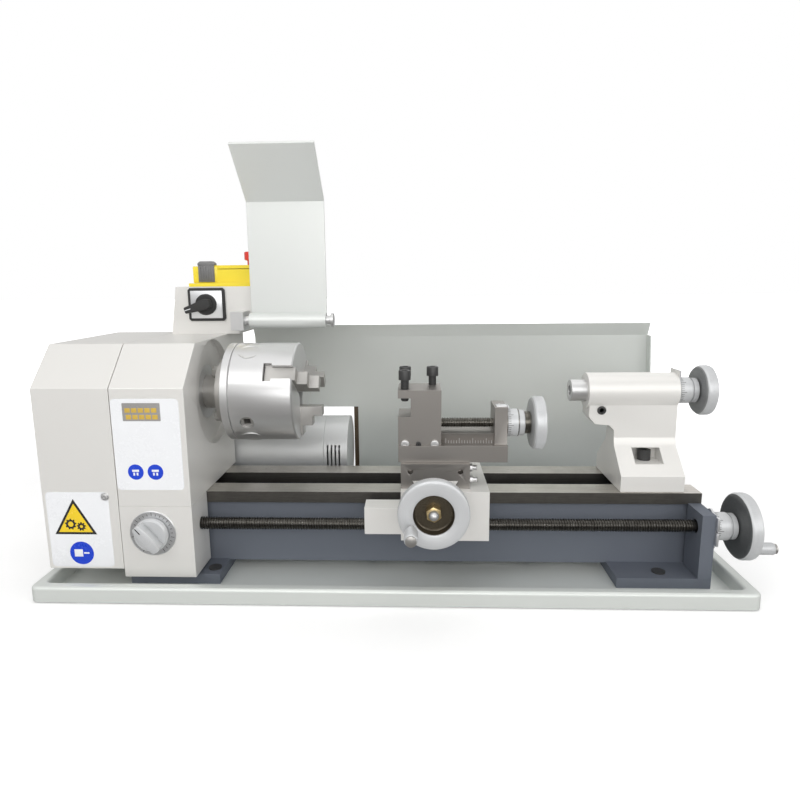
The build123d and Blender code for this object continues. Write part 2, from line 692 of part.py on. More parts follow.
# --- spindle and drive -------------------------------------------------------------------------------
spindle = rod_x(SPINDLE_GEAR_X + GEAR_W, FLANGE_X, 0, AXIS_Z, SPINDLE_R)
spindle = spindle + rod_x(SPINDLE_END, SPINDLE_GEAR_X + GEAR_W + 1, 0, AXIS_Z, SPINDLE_TAIL_R)
spindle = spindle + rod_x(FLANGE_X - FLANGE_T, FLANGE_X, 0, AXIS_Z, FLANGE_R)
spindle = spindle - rod_x(SPINDLE_END - 1, FLANGE_X + 1, 0, AXIS_Z, SPINDLE_BORE_R)
spindle_pulley = rod_x(PULLEY_X, PULLEY_X + PULLEY_W, 0, AXIS_Z, SPINDLE_PULLEY_R)
spindle_pulley = spindle_pulley + rod_x(PULLEY_X + PULLEY_W - 1, SPINDLE_GEAR_X, 0, AXIS_Z, SPINDLE_TAIL_R + 1.5)
spindle_pulley = spindle_pulley - rod_x(PULLEY_X - 1, SPINDLE_GEAR_X + 1, 0, AXIS_Z, SPINDLE_TAIL_R)
spindle_nut = (hex_x(PULLEY_X - 8, PULLEY_X, 0, AXIS_Z, 3 * SPINDLE_TAIL_R)
               - rod_x(PULLEY_X - 9, PULLEY_X + 1, 0, AXIS_Z, SPINDLE_TAIL_R))
STUD_REACH = GEAR_MODULE * (SPINDLE_TEETH + STUD_TEETH) / 2 + 0.1
STUD_Y = STUD_REACH * math.cos(math.radians(STUD_ANGLE))
STUD_Z = AXIS_Z + STUD_REACH * math.sin(math.radians(STUD_ANGLE))
# the driving wheel has a tooth on the line of centres, and the driven wheel a gap
spindle_gear = gear(SPINDLE_TEETH, SPINDLE_GEAR_X, GEAR_W, 0, AXIS_Z, SPINDLE_TAIL_R, STUD_ANGLE)
parts["spindle_drive_set"] = group(spindle_pulley, spindle_gear)
parts["stud_gear"] = gear(STUD_TEETH, SPINDLE_GEAR_X, GEAR_W, STUD_Y, STUD_Z, STUD_R + RUN,
                          STUD_ANGLE + 180 + 180 / STUD_TEETH)
stud_arm = (rod_x(SPINDLE_GEAR_X - 2, PLATE_X, STUD_Y, STUD_Z, STUD_R)
            + rod_x(SPINDLE_GEAR_X - 2.5, SPINDLE_GEAR_X - GAP, STUD_Y, STUD_Z, STUD_HEAD_R)
            + rod_x(SPINDLE_GEAR_X + GEAR_W + GAP, PLATE_X, STUD_Y, STUD_Z, STUD_BOSS_R))
parts["drive_end_plate"] = group(end_plate, stud_arm)

# --- chuck -------------------------------------------------------------------------------------------
parts["chuck_backplate"] = (rod_x(FLANGE_X, BODY_X0, 0, AXIS_Z, CHUCK_R)
                            - rod_x(FLANGE_X - 1, BODY_X0 + 1, 0, AXIS_Z, CHUCK_BORE_R))


def radial(shape, angle):
    """Turn a shape about the spindle axis."""
    return Pos(0, 0, AXIS_Z) * Rot(angle, 0, 0) * Pos(0, 0, -AXIS_Z) * shape


def jaw():
    """One stepped jaw, standing up along +Z from the spindle axis, with its guide below the face."""
    low = AXIS_Z + JAW_REST
    high = low + 3 * JAW_STEP
    back = CHUCK_FACE - JAW_DEPTH
    half = JAW_W / 2
    guide = box(back, CHUCK_FACE + 0.5, -half, half, low, high)
    rib = box(back, back + JAW_RIB, -half - JAW_RIB_OUT, half + JAW_RIB_OUT, low, high)
    steps = [box(CHUCK_FACE, CHUCK_FACE + JAW_STEP * (3 - i) - JAW_SINK, -half, half,
                 low + i * JAW_STEP, low + (i + 1) * JAW_STEP) for i in range(3)]
    return union([guide, rib] + steps)


def jaw_slot():
    """The T-shaped slot that a jaw slides in."""
    half = JAW_W / 2 + SLIP
    low, high = AXIS_Z + 1, AXIS_Z + CHUCK_R + 1
    back = CHUCK_FACE - JAW_DEPTH
    stem = box(back - GAP, CHUCK_FACE + 1, -half, half, low, high)
    tee = box(back - GAP, back + JAW_RIB + SLIP, -half - JAW_RIB_OUT, half + JAW_RIB_OUT, low, high)
    return stem + tee


def chuck_body():
    """The chuck's body, with its bore, the scroll's chamber, the jaw slots and the key holes."""
    body = rod_x(BODY_X0, CHUCK_FACE, 0, AXIS_Z, CHUCK_R)
    body = chamfer(body.edges().filter_by(GeomType.CIRCLE), 1)
    body = body - rod_x(BODY_X0 - 1, CHUCK_FACE + 1, 0, AXIS_Z, CHUCK_BORE_R)
    body = body - ring_x(PINION_X - PINION_R - 2, SCROLL_X + SCROLL_T + GAP, 0, AXIS_Z, SCROLL_R + GAP,
                         SCROLL_HUB_R)
    for angle in JAW_ANGLES:
        body = body - radial(jaw_slot(), angle)
    key_hole = rod_z(AXIS_Z + PINION_IN - 1, AXIS_Z + CHUCK_R + 1, PINION_X, 0, PINION_R + RUN)
    for angle in KEY_ANGLES:
        body = body - radial(key_hole, angle)
    return body


parts["chuck_body"] = chuck_body()
parts["chuck_scroll"] = ring_x(SCROLL_X, SCROLL_X + SCROLL_T, 0, AXIS_Z, SCROLL_R, SCROLL_HUB_R + RUN)
key_half = KEY_SQUARE / 2
pinion = rod_z(AXIS_Z + PINION_IN, AXIS_Z + CHUCK_R - 1.5, PINION_X, 0, PINION_R)
pinion = pinion - box(PINION_X - key_half, PINION_X + key_half, -key_half, key_half,
                      AXIS_Z + CHUCK_R - 10, AXIS_Z + CHUCK_R)
for number, (jaw_angle, key_angle) in enumerate(zip(JAW_ANGLES, KEY_ANGLES), 1):
    parts[f"chuck_jaw_{number}"] = radial(jaw(), jaw_angle)
    parts[f"key_pinion_{number}"] = radial(pinion, key_angle)
nut_face = FLANGE_X - FLANGE_T
chuck_nuts = [radial(hex_x(nut_face - 5, nut_face, 0, AXIS_Z + CHUCK_NUT_R, 9), angle)
              for angle in (30, 150, 270)]
parts["spindle"] = group(spindle, spindle_nut, *chuck_nuts)

# --- motor, belt -------------------------------------------------------------------------------------
MOTOR_BORE_R = MOTOR_R - MOTOR_WALL
motor_shell = rod_x(BED_LEFT, MOTOR_CAP_X, MOTOR_Y, MOTOR_Z, MOTOR_R)
motor_shell = motor_shell - rod_x(BED_LEFT + 8, MOTOR_X1, MOTOR_Y, MOTOR_Z, MOTOR_BORE_R)
parts["motor_housing"] = motor_shell - rod_x(BED_LEFT - 1, BED_LEFT + 9, MOTOR_Y, MOTOR_Z, MOTOR_SHAFT_R + RUN)
motor_cap = rod_x(MOTOR_CAP_X, MOTOR_X1, MOTOR_Y, MOTOR_Z, MOTOR_R)
motor_cap = motor_cap - rod_x(MOTOR_CAP_X - 1, MOTOR_X1 - 4, MOTOR_Y, MOTOR_Z, MOTOR_BORE_R)
for k in range(MOTOR_SLOTS):
    slot_x = MOTOR_CAP_X + 3 + MOTOR_SLOT_PITCH * k
    motor_cap = motor_cap - box(slot_x, slot_x + MOTOR_SLOT_W, MOTOR_Y - MOTOR_R - 1, MOTOR_Y - MOTOR_R + 8,
                                MOTOR_Z - 12, MOTOR_Z + 12)
parts["motor_end_cap"] = motor_cap
rotor = rod_x(PULLEY_X - 2, MOTOR_X1 - 8, MOTOR_Y, MOTOR_Z, MOTOR_SHAFT_R)
rotor = rotor + rod_x(BED_LEFT + 16, MOTOR_CAP_X - 18, MOTOR_Y, MOTOR_Z, MOTOR_BORE_R - 5)
motor_pulley = ring_x(PULLEY_X, PULLEY_X + PULLEY_W, MOTOR_Y, MOTOR_Z, MOTOR_PULLEY_R, MOTOR_SHAFT_R)
parts["motor_rotor"] = group(rotor, motor_pulley)


def belt_loop(extra):
    """The tight loop round both pulleys, grown by extra."""
    r1, r2 = SPINDLE_PULLEY_R + extra, MOTOR_PULLEY_R + extra
    dy, dz = MOTOR_Y, MOTOR_Z - AXIS_Z
    reach = math.hypot(dy, dz)
    along = math.atan2(dz, dy)
    spread = math.acos((r1 - r2) / reach)
    quad = []
    for cy, cz, r, turn in ((0, AXIS_Z, r1, 1), (0, AXIS_Z, r1, -1), (MOTOR_Y, MOTOR_Z, r2, -1),
                            (MOTOR_Y, MOTOR_Z, r2, 1)):
        a = along + turn * spread
        quad.append((cy + r * math.cos(a), cz + r * math.sin(a)))
    x0, x1 = PULLEY_X + 1, PULLEY_X + PULLEY_W - 1
    return prism_x(quad, x0, x1) + rod_x(x0, x1, 0, AXIS_Z, r1) + rod_x(x0, x1, MOTOR_Y, MOTOR_Z, r2)


parts["drive_belt"] = belt_loop(BELT_CLEAR + BELT_T) - belt_loop(BELT_CLEAR)

# --- leadscrew ---------------------------------------------------------------------------------------
lead_bracket = box(BRACKET_X0, BRACKET_X1, -BED_HALF - BRACKET_OUT, -BED_HALF - SLIP, FOOT_TOP, BRACKET_TOP)
lead_bracket = lead_bracket - rod_x(BRACKET_X0 - 1, BRACKET_X1 + 1, LEAD_Y, LEAD_Z, LEAD_R + RUN)
index_x = BRACKET_X1 + INDEX_T
lead_index = prism_x([(LEAD_Y - INDEX_HALF, LEAD_Z - 14), (LEAD_Y + INDEX_HALF, LEAD_Z - 14),
                      (LEAD_Y + INDEX_HALF, LEAD_Z + 10), (LEAD_Y, LEAD_Z + 14),
                      (LEAD_Y - INDEX_HALF, LEAD_Z + 10)], BRACKET_X1, index_x)
lead_index = lead_index - rod_x(BRACKET_X1 - 1, index_x + 1, LEAD_Y, LEAD_Z, LEAD_R + GAP)
parts["leadscrew_bracket"] = group(lead_bracket, lead_index)
dial_x = index_x + DIAL_GAP
collar_x = dial_x + DIAL_LEN
wheel_x = collar_x + COLLAR_LEN + 1
leadscrew = rod_x(LEAD_GEAR_X - 2, BRACKET_X1 + 1, LEAD_Y, LEAD_Z, LEAD_R)
leadscrew = leadscrew + rod_x(BRACKET_X1, wheel_x + WHEEL_T, LEAD_Y, LEAD_Z, LEAD_STUB)
parts["leadscrew"] = group(leadscrew, gear(LEAD_TEETH, LEAD_GEAR_X, GEAR_W, LEAD_Y, LEAD_Z, LEAD_R))
parts["leadscrew_dial"] = group(ring_x(dial_x, collar_x, LEAD_Y, LEAD_Z, DIAL_R, LEAD_STUB),
                                ring_x(collar_x, wheel_x, LEAD_Y, LEAD_Z, DIAL_R - COLLAR_STEP, LEAD_STUB))
lead_wheel = handwheel_x(wheel_x, LEAD_Y, LEAD_Z, BIG_WHEEL_R, LEAD_STUB, LEAD_GRIP_ANGLE)
grip_y, grip_z = grip_place(LEAD_Y, LEAD_Z, BIG_WHEEL_R, LEAD_GRIP_ANGLE)
grip_x = wheel_x + WHEEL_T + GRIP_BOSS_H + GAP
grip_end = grip_x + GRIP_LEN
parts["leadscrew_grip"] = (Pos(grip_x, grip_y, grip_z) * Rot(0, 90, 0) * grip()
                           - rod_x(grip_x - 1, grip_end + 1, grip_y, grip_z, GRIP_PIN_R + RUN))
lead_pin = (rod_x(wheel_x + 1, grip_end + GAP + 0.1, grip_y, grip_z, GRIP_PIN_R)
            + rod_x(grip_end + GAP, grip_end + 2, grip_y, grip_z, GRIP_HEAD_R))
parts["leadscrew_handwheel"] = group(lead_wheel, lead_pin)

# --- carriage ----------------------------------------------------------------------------------------


def dove_outline(low, ease, slip):
    """The cross slide's dovetail, as (x, z), grown by slip and by ease at its foot."""
    foot, top = DOVE_FOOT_W / 2 + slip + ease, DOVE_TOP_W / 2 + slip
    return [(CROSS_MID - foot, low), (CROSS_MID + foot, low), (CROSS_MID + top, DOVE_TOP + slip),
            (CROSS_MID - top, DOVE_TOP + slip)]


def saddle():
    """The saddle on the ways, with its dovetail for the cross slide and the apron in front."""
    guides = ((-BED_HALF - SADDLE_GUIDE, -BED_HALF - SLIP), (BED_HALF + SLIP, SADDLE_BACK))
    body = box(CROSS_X0, SADDLE_RIGHT, APRON_FRONT, SADDLE_BACK, WAY_Z + SLIP, SADDLE_TOP)
    body = body + box(CROSS_X0, SADDLE_RIGHT, APRON_FRONT, APRON_FRONT + APRON_T, APRON_BOTTOM, WAY_Z + 1)
    wing = box(SADDLE_LEFT, CROSS_X0 + 1, APRON_FRONT, APRON_FRONT + WING_DEEP, APRON_BOTTOM + WING_LOW_IN,
               WAY_Z - WING_TOP_IN)
    body = body + (wing - box(SADDLE_LEFT - 1, CROSS_X0 + 2, LEAD_Y - LEAD_R - GAP, APRON_FRONT + WING_DEEP + 1,
                              APRON_BOTTOM, LEAD_Z + LEAD_R + GAP))
    for y0, y1 in guides:
        body = body + box(CROSS_X0, SADDLE_RIGHT, y0, y1, WAY_UNDER, WAY_Z + 1)
    body = body + prism_y(dove_outline(SADDLE_TOP - 0.1, 0, 0), CROSS_FRONT, SADDLE_BACK)
    groove = box(CROSS_SCREW_X - CROSS_GROOVE_HALF, CROSS_SCREW_X + CROSS_GROOVE_HALF, CROSS_FRONT,
                 SADDLE_BACK + 1, WAY_Z - 2, DOVE_TOP + 1)
    bore = rod_y(APRON_FRONT - 1, CROSS_FRONT + 1, CROSS_SCREW_X, CROSS_SCREW_Z, CROSS_SCREW_R + RUN)
    return body - groove - bore


nut_x0 = CROSS_X0 + LEAD_NUT_INSET
nut_x1 = nut_x0 + LEAD_NUT_LEN
lead_nut = box(nut_x0, nut_x1, APRON_FRONT + APRON_T, LEAD_Y + LEAD_NUT_HALF, LEAD_Z - LEAD_NUT_HALF,
               WAY_UNDER)
parts["lead_nut"] = lead_nut - rod_x(nut_x0 - 1, nut_x1 + 1, LEAD_Y, LEAD_Z, LEAD_R + RUN)


def cross_slide():
    """The cross slide, with the female dovetail below and two bolt holes in its front face."""
    low = SADDLE_TOP + SLIP
    body = box(CROSS_X0, CROSS_X1, CROSS_FRONT, CROSS_BACK, low, CROSS_TOP)
    cut = prism_y(dove_outline(low - 1, DOVE_EASE, SLIP), CROSS_FRONT - 1, CROSS_BACK + 1)
    holes = [rod_y(CROSS_FRONT - 1, CROSS_FRONT + 8, x, CROSS_TOP - 6, 2) for x in (CROSS_X0 + 7, CROSS_X1 - 7)]
    return body - cut - union(holes)


def ring_y(y0, y1, r, hole):
    """A ring about the cross feed screw."""
    return (rod_y(y0, y1, CROSS_SCREW_X, CROSS_SCREW_Z, r)
            - rod_y(y0 - 1, y1 + 1, CROSS_SCREW_X, CROSS_SCREW_Z, hole))


parts["cross_slide"] = cross_slide()
cross_nut = box(CROSS_SCREW_X - CROSS_NUT_HALF, CROSS_SCREW_X + CROSS_NUT_HALF, -12, 8, WAY_Z + 0.5,
                DOVE_TOP + SLIP)
parts["cross_nut"] = cross_nut - rod_y(-13, 9, CROSS_SCREW_X, CROSS_SCREW_Z, CROSS_SCREW_R + RUN)
cross_index = box(CROSS_SCREW_X - 8, CROSS_SCREW_X + 8, APRON_FRONT - 2, APRON_FRONT,
                  CROSS_SCREW_Z - 12, CROSS_SCREW_Z + 6)
cross_index = cross_index - rod_y(APRON_FRONT - 3, APRON_FRONT + 1, CROSS_SCREW_X, CROSS_SCREW_Z,
                                  CROSS_SCREW_R + GAP)
parts["saddle"] = group(saddle(), cross_index)
cross_dial_y = APRON_FRONT - 2 - GAP
cross_collar_y = cross_dial_y - DIAL_LEN
cross_wheel_y = cross_collar_y - COLLAR_LEN - 3
cross_face = cross_wheel_y - WHEEL_T
cross_screw = rod_y(cross_face, CROSS_BACK + 4, CROSS_SCREW_X, CROSS_SCREW_Z, CROSS_SCREW_R)
# the cross feed's dial is small enough for the cross slide to pass over it
parts["cross_dial"] = group(ring_y(cross_collar_y, cross_dial_y, CROSS_DIAL_R, CROSS_SCREW_R),
                            ring_y(cross_wheel_y, cross_collar_y, CROSS_DIAL_R - COLLAR_STEP, CROSS_SCREW_R))
cross_rim = ring_y(cross_face, cross_wheel_y, BIG_WHEEL_R, CROSS_SCREW_R)
cross_rim = cross_rim - ring_y(cross_face - 1, cross_face + WHEEL_DISH, WHEEL_RIM_SHARE * BIG_WHEEL_R,
                               WHEEL_HUB_SHARE * BIG_WHEEL_R)
cgx, cgz = grip_place(CROSS_SCREW_X, CROSS_SCREW_Z, BIG_WHEEL_R, CROSS_GRIP_ANGLE)
cross_rim = cross_rim + rod_y(cross_face - GRIP_BOSS_H, cross_wheel_y, cgx, cgz, GRIP_BOSS_R)
cross_rim = cross_rim - rod_y(cross_face - GRIP_BOSS_H - 1, cross_wheel_y + 1, cgx, cgz, GRIP_PIN_R)
grip_face = cross_face - GRIP_BOSS_H - GAP
cross_grip_end = grip_face - GRIP_LEN
parts["cross_grip"] = (Pos(cgx, grip_face, cgz) * Rot(90, 0, 0) * grip()
                       - rod_y(cross_grip_end - 1, grip_face + 1, cgx, cgz, GRIP_PIN_R + RUN))
cross_pin = (rod_y(cross_grip_end - GAP - 0.1, cross_wheel_y - 1, cgx, cgz, GRIP_PIN_R)
             + rod_y(cross_grip_end - 2, cross_grip_end - GAP, cgx, cgz, GRIP_HEAD_R))
parts["cross_handwheel"] = group(cross_rim, cross_pin)
parts["cross_screw"] = group(cross_screw, hex_y(cross_face - 4, cross_face, CROSS_SCREW_X, CROSS_SCREW_Z, 10))

# --- top slide and tool post -------------------------------------------------------------------------


def rail_outline(low, ease, slip):
    """The top slide's dovetail, as (y, z), grown by slip and by ease at its foot."""
    foot, top = RAIL_FOOT_W / 2 + slip + ease, RAIL_TOP_W / 2 + slip
    return [(TOP_Y - foot, low), (TOP_Y + foot, low), (TOP_Y + top, RAIL_TOP + slip),
            (TOP_Y - top, RAIL_TOP + slip)]


def top_slide_base():
    """The top slide's base, with its rail and the bracket that holds its screw."""
    half = TOP_W / 2
    bracket_x = TOP_X1 - TOP_BRACKET_T
    base = box(TOP_X0, TOP_X1, TOP_Y - half, TOP_Y + half, CROSS_TOP, TOP_BASE_TOP)
    base = base + prism_x(rail_outline(TOP_BASE_TOP - 0.1, 0, 0), TOP_X0, bracket_x + 0.1)
    half = half - TOP_BRACKET_IN
    base = base + box(bracket_x, TOP_X1, TOP_Y - half, TOP_Y + half, TOP_BASE_TOP - 0.1,
                      TOP_BASE_TOP + TOP_BRACKET_H)
    return base - rod_x(bracket_x - 1, TOP_X1 + 1, TOP_Y, TOP_SCREW_Z, TOP_SCREW_R + RUN)


clamp_places = [(POST_X0 + CLAMP_INSET - 1, POST_Y0 + CLAMP_INSET),
                (POST_X0 + CLAMP_INSET - 1, POST_Y1 - CLAMP_INSET), (POST_X1 - CLAMP_INSET, POST_Y1 - CLAMP_INSET)]


def tool_post():
    """The slide block that carries the tool, with a slot on its left and a slot on its back."""
    low = TOP_BASE_TOP + SLIP
    block = box(POST_X0, POST_X1, POST_Y0, POST_Y1, low, POST_TOP)
    block = block - prism_x(rail_outline(low - 1, DOVE_EASE, SLIP), POST_X0 - 1, POST_X1 + 1)
    block = block - box(POST_X0 - 1, POST_X0 + SLOT_DEEP, POST_Y0 - 1, POST_Y1 + 1, SLOT_LOW, SLOT_TOP)
    block = block - box(POST_X0 - 1, POST_X1 + 1, POST_Y1 - SLOT_DEEP, POST_Y1 + 1, SLOT_LOW, SLOT_TOP)
    block = block - rod_x(POST_X0 - 1, POST_X1 + 1, TOP_Y, TOP_SCREW_Z, TOP_SCREW_R + RUN)
    return block - union([rod_z(SLOT_TOP - 1, POST_TOP + 1, x, y, CLAMP_R) for x, y in clamp_places])


parts["top_slide_base"] = top_slide_base()
parts["tool_post"] = tool_post()
clamp_len = CLAMP_STAND + POST_CAP + 3
parts["tool_clamp_screws"] = group(*[
    cap_screw_z(x, y, POST_TOP + CLAMP_STAND, CLAMP_HEAD_R, CLAMP_R, clamp_len) for x, y in clamp_places])
top_dial_x = TOP_X1 + GAP
top_collar_x = top_dial_x + TOP_DIAL_LEN
top_wheel_x = top_collar_x + COLLAR_LEN + 4
parts["top_screw"] = group(
    rod_x(POST_X0 + 2, top_wheel_x + WHEEL_T, TOP_Y, TOP_SCREW_Z, TOP_SCREW_R),
    ring_x(top_dial_x, top_collar_x, TOP_Y, TOP_SCREW_Z, DIAL_R, TOP_SCREW_R),
    ring_x(top_collar_x, top_wheel_x, TOP_Y, TOP_SCREW_Z, DIAL_R - COLLAR_STEP, TOP_SCREW_R))
parts["top_handwheel"] = handwheel_x(top_wheel_x, TOP_Y, TOP_SCREW_Z, SMALL_WHEEL_R, TOP_SCREW_R)

# --- tailstock ---------------------------------------------------------------------------------------


def tailstock():
    """The casting: a splayed foot on the ways, a neck, and the barrel that overhangs to the left."""
    flare, neck = TAIL_W / 2, TAIL_NECK_W / 2
    foot_top = TAIL_LOW + TAIL_FOOT_H
    right = [(flare, TAIL_LOW), (flare, foot_top), (neck + TAIL_SPLAY, TAIL_NECK_Z), (neck, TAIL_NECK_Z + 6),
             (neck, AXIS_Z - 8)]
    left = [(-y, z) for y, z in reversed(right)]
    body = prism_x(right + left, TAIL_X0, TAIL_X1)
    body = body + rod_x(BARREL_X0, BARREL_X1, 0, AXIS_Z, BARREL_R)
    lobe_low = AXIS_Z - TAIL_LOBE_DROP
    lobe_left = BARREL_X0 + 1.5
    body = body + prism_y([(lobe_left, AXIS_Z - 7), (lobe_left, lobe_low + 6), (lobe_left + 5, lobe_low),
                           (TAIL_X0 - 4, lobe_low - 1), (TAIL_X0 + 1, lobe_low - 6),
                           (TAIL_X0 + 1, AXIS_Z - 7)], -neck, neck)
    body = body - rod_x(BARREL_X0 - 1, BARREL_X1 - BARREL_END, 0, AXIS_Z, QUILL_R + RUN)
    body = body - rod_x(BARREL_X1 - BARREL_END - 1, BARREL_X1 + 1, 0, AXIS_Z, QUILL_SCREW_R + RUN)
    pocket_in = TAIL_BOLT_OUT - TAIL_BOLT_HEAD_R - 0.5
    for side in (-1, 1):
        y0, y1 = sorted((side * pocket_in, side * (flare + 1)))
        body = body - box(TAIL_MID - TAIL_POCKET_HALF, TAIL_MID + TAIL_POCKET_HALF, y0, y1,
                          TAIL_LOW + TAIL_POCKET_FLOOR, TAIL_LOW + TAIL_POCKET_TOP)
        body = body - rod_z(TAIL_LOW - 1, TAIL_LOW + TAIL_POCKET_FLOOR + 1, TAIL_MID, side * TAIL_BOLT_OUT,
                            TAIL_BOLT_R + 0.2)
    return body


plate_half_y = BED_HALF - WAY_W + 7
clamp_plate = box(TAIL_MID - TAIL_PLATE_HALF, TAIL_MID + TAIL_PLATE_HALF, -plate_half_y, plate_half_y,
                  WAY_UNDER - TAIL_PLATE_T, WAY_UNDER - SLIP)
tail_bolts = []
for side in (-1, 1):
    bolt_y = side * TAIL_BOLT_OUT
    clamp_plate = clamp_plate - rod_z(WAY_UNDER - TAIL_PLATE_T - 2, WAY_UNDER + 1, TAIL_MID, bolt_y, TAIL_BOLT_R)
    tail_bolts.append(cap_screw_z(TAIL_MID, bolt_y, TAIL_LOW + TAIL_POCKET_FLOOR, TAIL_BOLT_HEAD_R, TAIL_BOLT_R,
                                  TAIL_POCKET_FLOOR + WAY_T + TAIL_PLATE_T))
parts["tailstock_clamp"] = group(clamp_plate, *tail_bolts)
screw_hole_x = QUILL_END - QUILL_SCREW_DEEP
quill = rod_x(QUILL_TIP, QUILL_END, 0, AXIS_Z, QUILL_R)
quill = quill - rod_x(QUILL_TIP - 1, QUILL_TIP + QUILL_BORE_DEEP, 0, AXIS_Z, QUILL_BORE_R)
parts["quill"] = quill - rod_x(screw_hole_x, QUILL_END + 1, 0, AXIS_Z, QUILL_SCREW_R + RUN)
tail_index_x = BARREL_X1 + 1.5
tail_dial_x = tail_index_x + DIAL_GAP
tail_collar_x = tail_dial_x + DIAL_LEN - 1
tail_wheel_x = tail_collar_x + COLLAR_LEN + 1
parts["quill_screw"] = rod_x(screw_hole_x + QUILL_SCREW_CLEAR, tail_wheel_x + WHEEL_T, 0, AXIS_Z, QUILL_SCREW_R)
tail_index = (box(BARREL_X1, tail_index_x, -9, 9, AXIS_Z + 5, AXIS_Z + 17)
              + rod_x(BARREL_X1, tail_index_x, 0, AXIS_Z, 9))
tail_index = tail_index - rod_x(BARREL_X1 - 1, tail_index_x + 1, 0, AXIS_Z, QUILL_SCREW_R + GAP)
parts["tailstock_body"] = group(tailstock(), tail_index)
parts["tailstock_dial"] = group(
    ring_x(tail_dial_x, tail_collar_x, 0, AXIS_Z, DIAL_R, QUILL_SCREW_R),
    ring_x(tail_collar_x, tail_wheel_x, 0, AXIS_Z, DIAL_R - COLLAR_STEP, QUILL_SCREW_R))
parts["tailstock_handwheel"] = handwheel_x(tail_wheel_x, 0, AXIS_Z, SMALL_WHEEL_R, QUILL_SCREW_R)

# --- switches ----------------------------------------------------------------------------------------


def tower_outline(w):
    """The electrics tower's front outline, as (x, z), drawn in by w."""
    low = HEAD_TOP - (1 if w else 0)
    bevel_z = HEAD_TOP + TOWER_BEVEL_H + w
    return [(TOWER_X0 - TOWER_SPLAY + w, low), (TOWER_X0 + w, TOWER_TOP - w), (TOWER_X1 - w, TOWER_TOP - w),
            (TOWER_X1 - w, TOWER_SHELF + w), (TOWER_BEVEL_X + 4 - w, bevel_z), (TOWER_BEVEL_X - w, low)]


def tower():
    """The electrics tower on the headstock, hollow inside."""
    w = TOWER_WALL
    shell = prism_y(tower_outline(0), TOWER_Y0, HEAD_REAR_TOP)
    shell = shell - prism_y(tower_outline(w), TOWER_Y0 + w, HEAD_REAR_TOP - w)
    opening = box(STOP_X0 + 6, STOP_X1 - 6, STOP_Y0 + 4, STOP_Y1 - 6, TOWER_TOP - 4, TOWER_TOP + 1)
    return shell - opening - rod_y(TOWER_Y0 - 1, TOWER_Y0 + 4, SELECTOR_X, SELECTOR_Z, KNOB_SHAFT_R + RUN)


parts["switch_tower"] = tower()
plate_w, plate_h = SELECTOR_PLATE_HALF
selector_plate = box(SELECTOR_X - plate_w, SELECTOR_X + plate_w, TOWER_Y0 - 1.5, TOWER_Y0,
                     SELECTOR_Z - plate_h, SELECTOR_Z + plate_h)
selector_plate = selector_plate - rod_y(TOWER_Y0 - 2, TOWER_Y0 + 1, SELECTOR_X, SELECTOR_Z, KNOB_SHAFT_R + RUN)
selector = rod_y(TOWER_Y0 - 6, TOWER_Y0 - 1.5 - GAP, SELECTOR_X, SELECTOR_Z, SELECTOR_R)
selector = selector + rod_y(TOWER_Y0 - 3, TOWER_Y0 + 8, SELECTOR_X, SELECTOR_Z, KNOB_SHAFT_R)
selector_bar = box(-2 * SELECTOR_R, SELECTOR_R, TOWER_Y0 - 12, TOWER_Y0 - 5.9, -3, 3)
parts["selector_knob"] = selector + Pos(SELECTOR_X, 0, SELECTOR_Z) * Rot(0, -30, 0) * selector_bar
speed_face = HEAD_FRONT - 1
speed_plate = rod_y(speed_face, HEAD_FRONT, SPEED_X, SPEED_Z, SPEED_R)
speed_plate = speed_plate - rod_y(speed_face - 1, HEAD_FRONT + 1, SPEED_X, SPEED_Z, KNOB_SHAFT_R + RUN)
parts["control_plates"] = group(selector_plate, speed_plate)
speed = rod_y(speed_face - 7, speed_face - GAP, SPEED_X, SPEED_Z, SPEED_KNOB_R)
speed = speed + rod_y(speed_face - 2, HEAD_FRONT + 10, SPEED_X, SPEED_Z, KNOB_SHAFT_R)
speed_bar = box(-SPEED_KNOB_R, SPEED_KNOB_R, speed_face - 13, speed_face - 6.9, -SPEED_BAR_HALF, SPEED_BAR_HALF)
parts["speed_knob"] = speed + Pos(SPEED_X, 0, SPEED_Z) * Rot(0, -12, 0) * speed_bar

buttons = {"start_button": STOP_X0 + BUTTON_IN, "stop_button": MUSHROOM_X}


def stop_base():
    """The yellow switch frame, with its rim and its two button holes."""
    frame = box(STOP_X0, STOP_X1, STOP_Y0, STOP_Y1 - 1, TOWER_TOP, TOWER_TOP + 3)
    frame = frame + box(STOP_X0 + 8, STOP_X1 - 8, STOP_Y0 + 5, STOP_Y1 - 6, TOWER_TOP, TOWER_TOP + STOP_H)
    frame = frame - box(STOP_X0 + 11, STOP_X1 - 11, STOP_Y0 + 8, STOP_Y1 - 9, TOWER_TOP + 5,
                        TOWER_TOP + STOP_H + 1)
    for x in buttons.values():
        frame = frame - rod_z(TOWER_TOP - 1, TOWER_TOP + STOP_H, x, STOP_MID_Y, BUTTON_R + RUN)
    return frame


for name, x in buttons.items():
    parts[name] = rod_z(TOWER_TOP - 2, TOWER_TOP + 9, x, STOP_MID_Y, BUTTON_R)
ears = [(y, y + EAR_T) for y in (STOP_Y0 + 5, STOP_Y1 - 6 - EAR_T)]
ear_r = LID_BARREL_R
switch_ears = [box(HINGE_X - ear_r, HINGE_X + ear_r, y0, y1, TOWER_TOP + 3, LID_Z)
               + rod_y(y0, y1, HINGE_X, LID_Z, ear_r) for y0, y1 in ears]
lid_pin = rod_y(STOP_Y0 + 2, STOP_Y1 - 3, HINGE_X, LID_Z, LID_PIN_R)
parts["switch_frame"] = group(stop_base(), union(switch_ears) + lid_pin)
lid = box(STOP_X0 + 8, HINGE_X, STOP_Y0 + 5, STOP_Y1 - 6, LID_Z, LID_Z + LID_T)
lid = lid + rod_y(STOP_Y0 + 8, STOP_Y1 - 9, HINGE_X, LID_Z, LID_BARREL_R)
